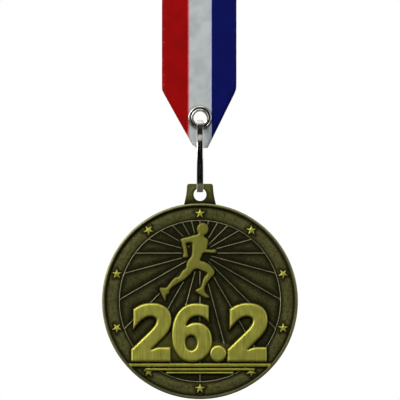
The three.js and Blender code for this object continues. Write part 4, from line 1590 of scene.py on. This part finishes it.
# %% Surround
SURROUND_BRIGHT, SURROUND_DIM, SURROUND_DARK = 0.9, 0.22, 0.02
DARK_CONE_WIDE, DARK_CONE_NARROW = 0.6, 0.93
world = bpy.data.worlds.new("surround")
bpy.context.scene.world = world
world.use_nodes = True
tree = world.node_tree
way = put(tree, "ShaderNodeTexCoord").outputs["Generated"]
way_parts = put(tree, "ShaderNodeSeparateXYZ", {0: way}).outputs
toward_front = maths(tree, "MULTIPLY", way_parts[1], -1.0)
aside = maths(tree, "MAXIMUM", maths(tree, "ABSOLUTE", way_parts[0]), way_parts[1])
around = between(tree, aside, 0.45, 0.8, SURROUND_DIM, SURROUND_BRIGHT)
dark_front = between(tree, toward_front, DARK_CONE_WIDE, DARK_CONE_NARROW)
brightness = between(tree, dark_front, 0.0, 1.0, around, SURROUND_DARK)
seen = put(tree, "ShaderNodeLightPath").outputs["Is Camera Ray"]
strength = maths(tree, "MAXIMUM", brightness, seen)
background = tree.nodes["Background"]
background.inputs["Color"].default_value = (1, 1, 1, 1)
tree.links.new(strength, background.inputs["Strength"])
bpy.context.scene.view_settings.view_transform = "Standard"
print("surround ready")


# %% Lights
def soft_light(name, offset_mm, size_mm, watts):
    """A flat light, placed round the medal's centre and aimed just above it."""
    lamp = bpy.data.lights.new(name, "AREA")
    lamp.shape = "RECTANGLE"
    lamp.size, lamp.size_y = (side * MM for side in size_mm)
    lamp.energy = watts
    obj = bpy.data.objects.new(name, lamp)
    bpy.context.collection.objects.link(obj)
    start = Vector(place([offset_mm])[0])
    target = Vector(place([[0, 0, 5]])[0])
    obj.location = start
    obj.rotation_euler = (target - start).to_track_quat("-Z", "Y").to_euler()


soft_light("key_light", (-420, -560, 420), (320, 320), 4.4)
soft_light("left_light", (-640, -80, 160), (300, 300), 1.5)
soft_light("fill_light", (520, -500, 120), (400, 400), 0.6)
soft_light("top_light", (0, -330, 620), (420, 250), 1.6)
print("lights ready")

# %% Floor
PAPER_LOW, PAPER_HIGH, PAPER_UNSEEN = (0.86, 0.86, 0.85), (0.9, 0.9, 0.89), (0.06, 0.06, 0.06)
floor_drop = 0.3
floor_z = medal_low.z - floor_drop
floor_half = 2.4
cells = 24
ticks = np.linspace(-floor_half, floor_half, cells + 1)
floor_points = [(x, y, floor_z) for y in ticks for x in ticks]
row = cells + 1
floor_faces = [(j * row + i, j * row + i + 1, (j + 1) * row + i + 1, (j + 1) * row + i)
               for j in range(cells) for i in range(cells)]
floor_mesh = bpy.data.meshes.new("floor")
floor_mesh.from_pydata(floor_points, [], floor_faces)
floor = bpy.data.objects.new("floor", floor_mesh)
bpy.context.collection.objects.link(floor)
paper, tree, shader = new_material("floor_paper")
fibre = use_group(tree, grain, {"Place": place_of(tree), "Grain Size": 0.0012})
watched = put(tree, "ShaderNodeLightPath").outputs["Is Camera Ray"]
paper_tone = mixed(tree, fibre["Mask"], PAPER_LOW, PAPER_HIGH)
paint(tree, shader, Base_Color=mixed(tree, watched, PAPER_UNSEEN, paper_tone),
      Emission_Strength=maths(tree, "MULTIPLY", watched, 0.5))
shader.inputs["Roughness"].default_value = 0.9
shader.inputs["Emission Color"].default_value = (1, 1, 1, 1)
floor_mesh.materials.append(paper)
print("floor", round(floor_z, 3), "m below the hook")
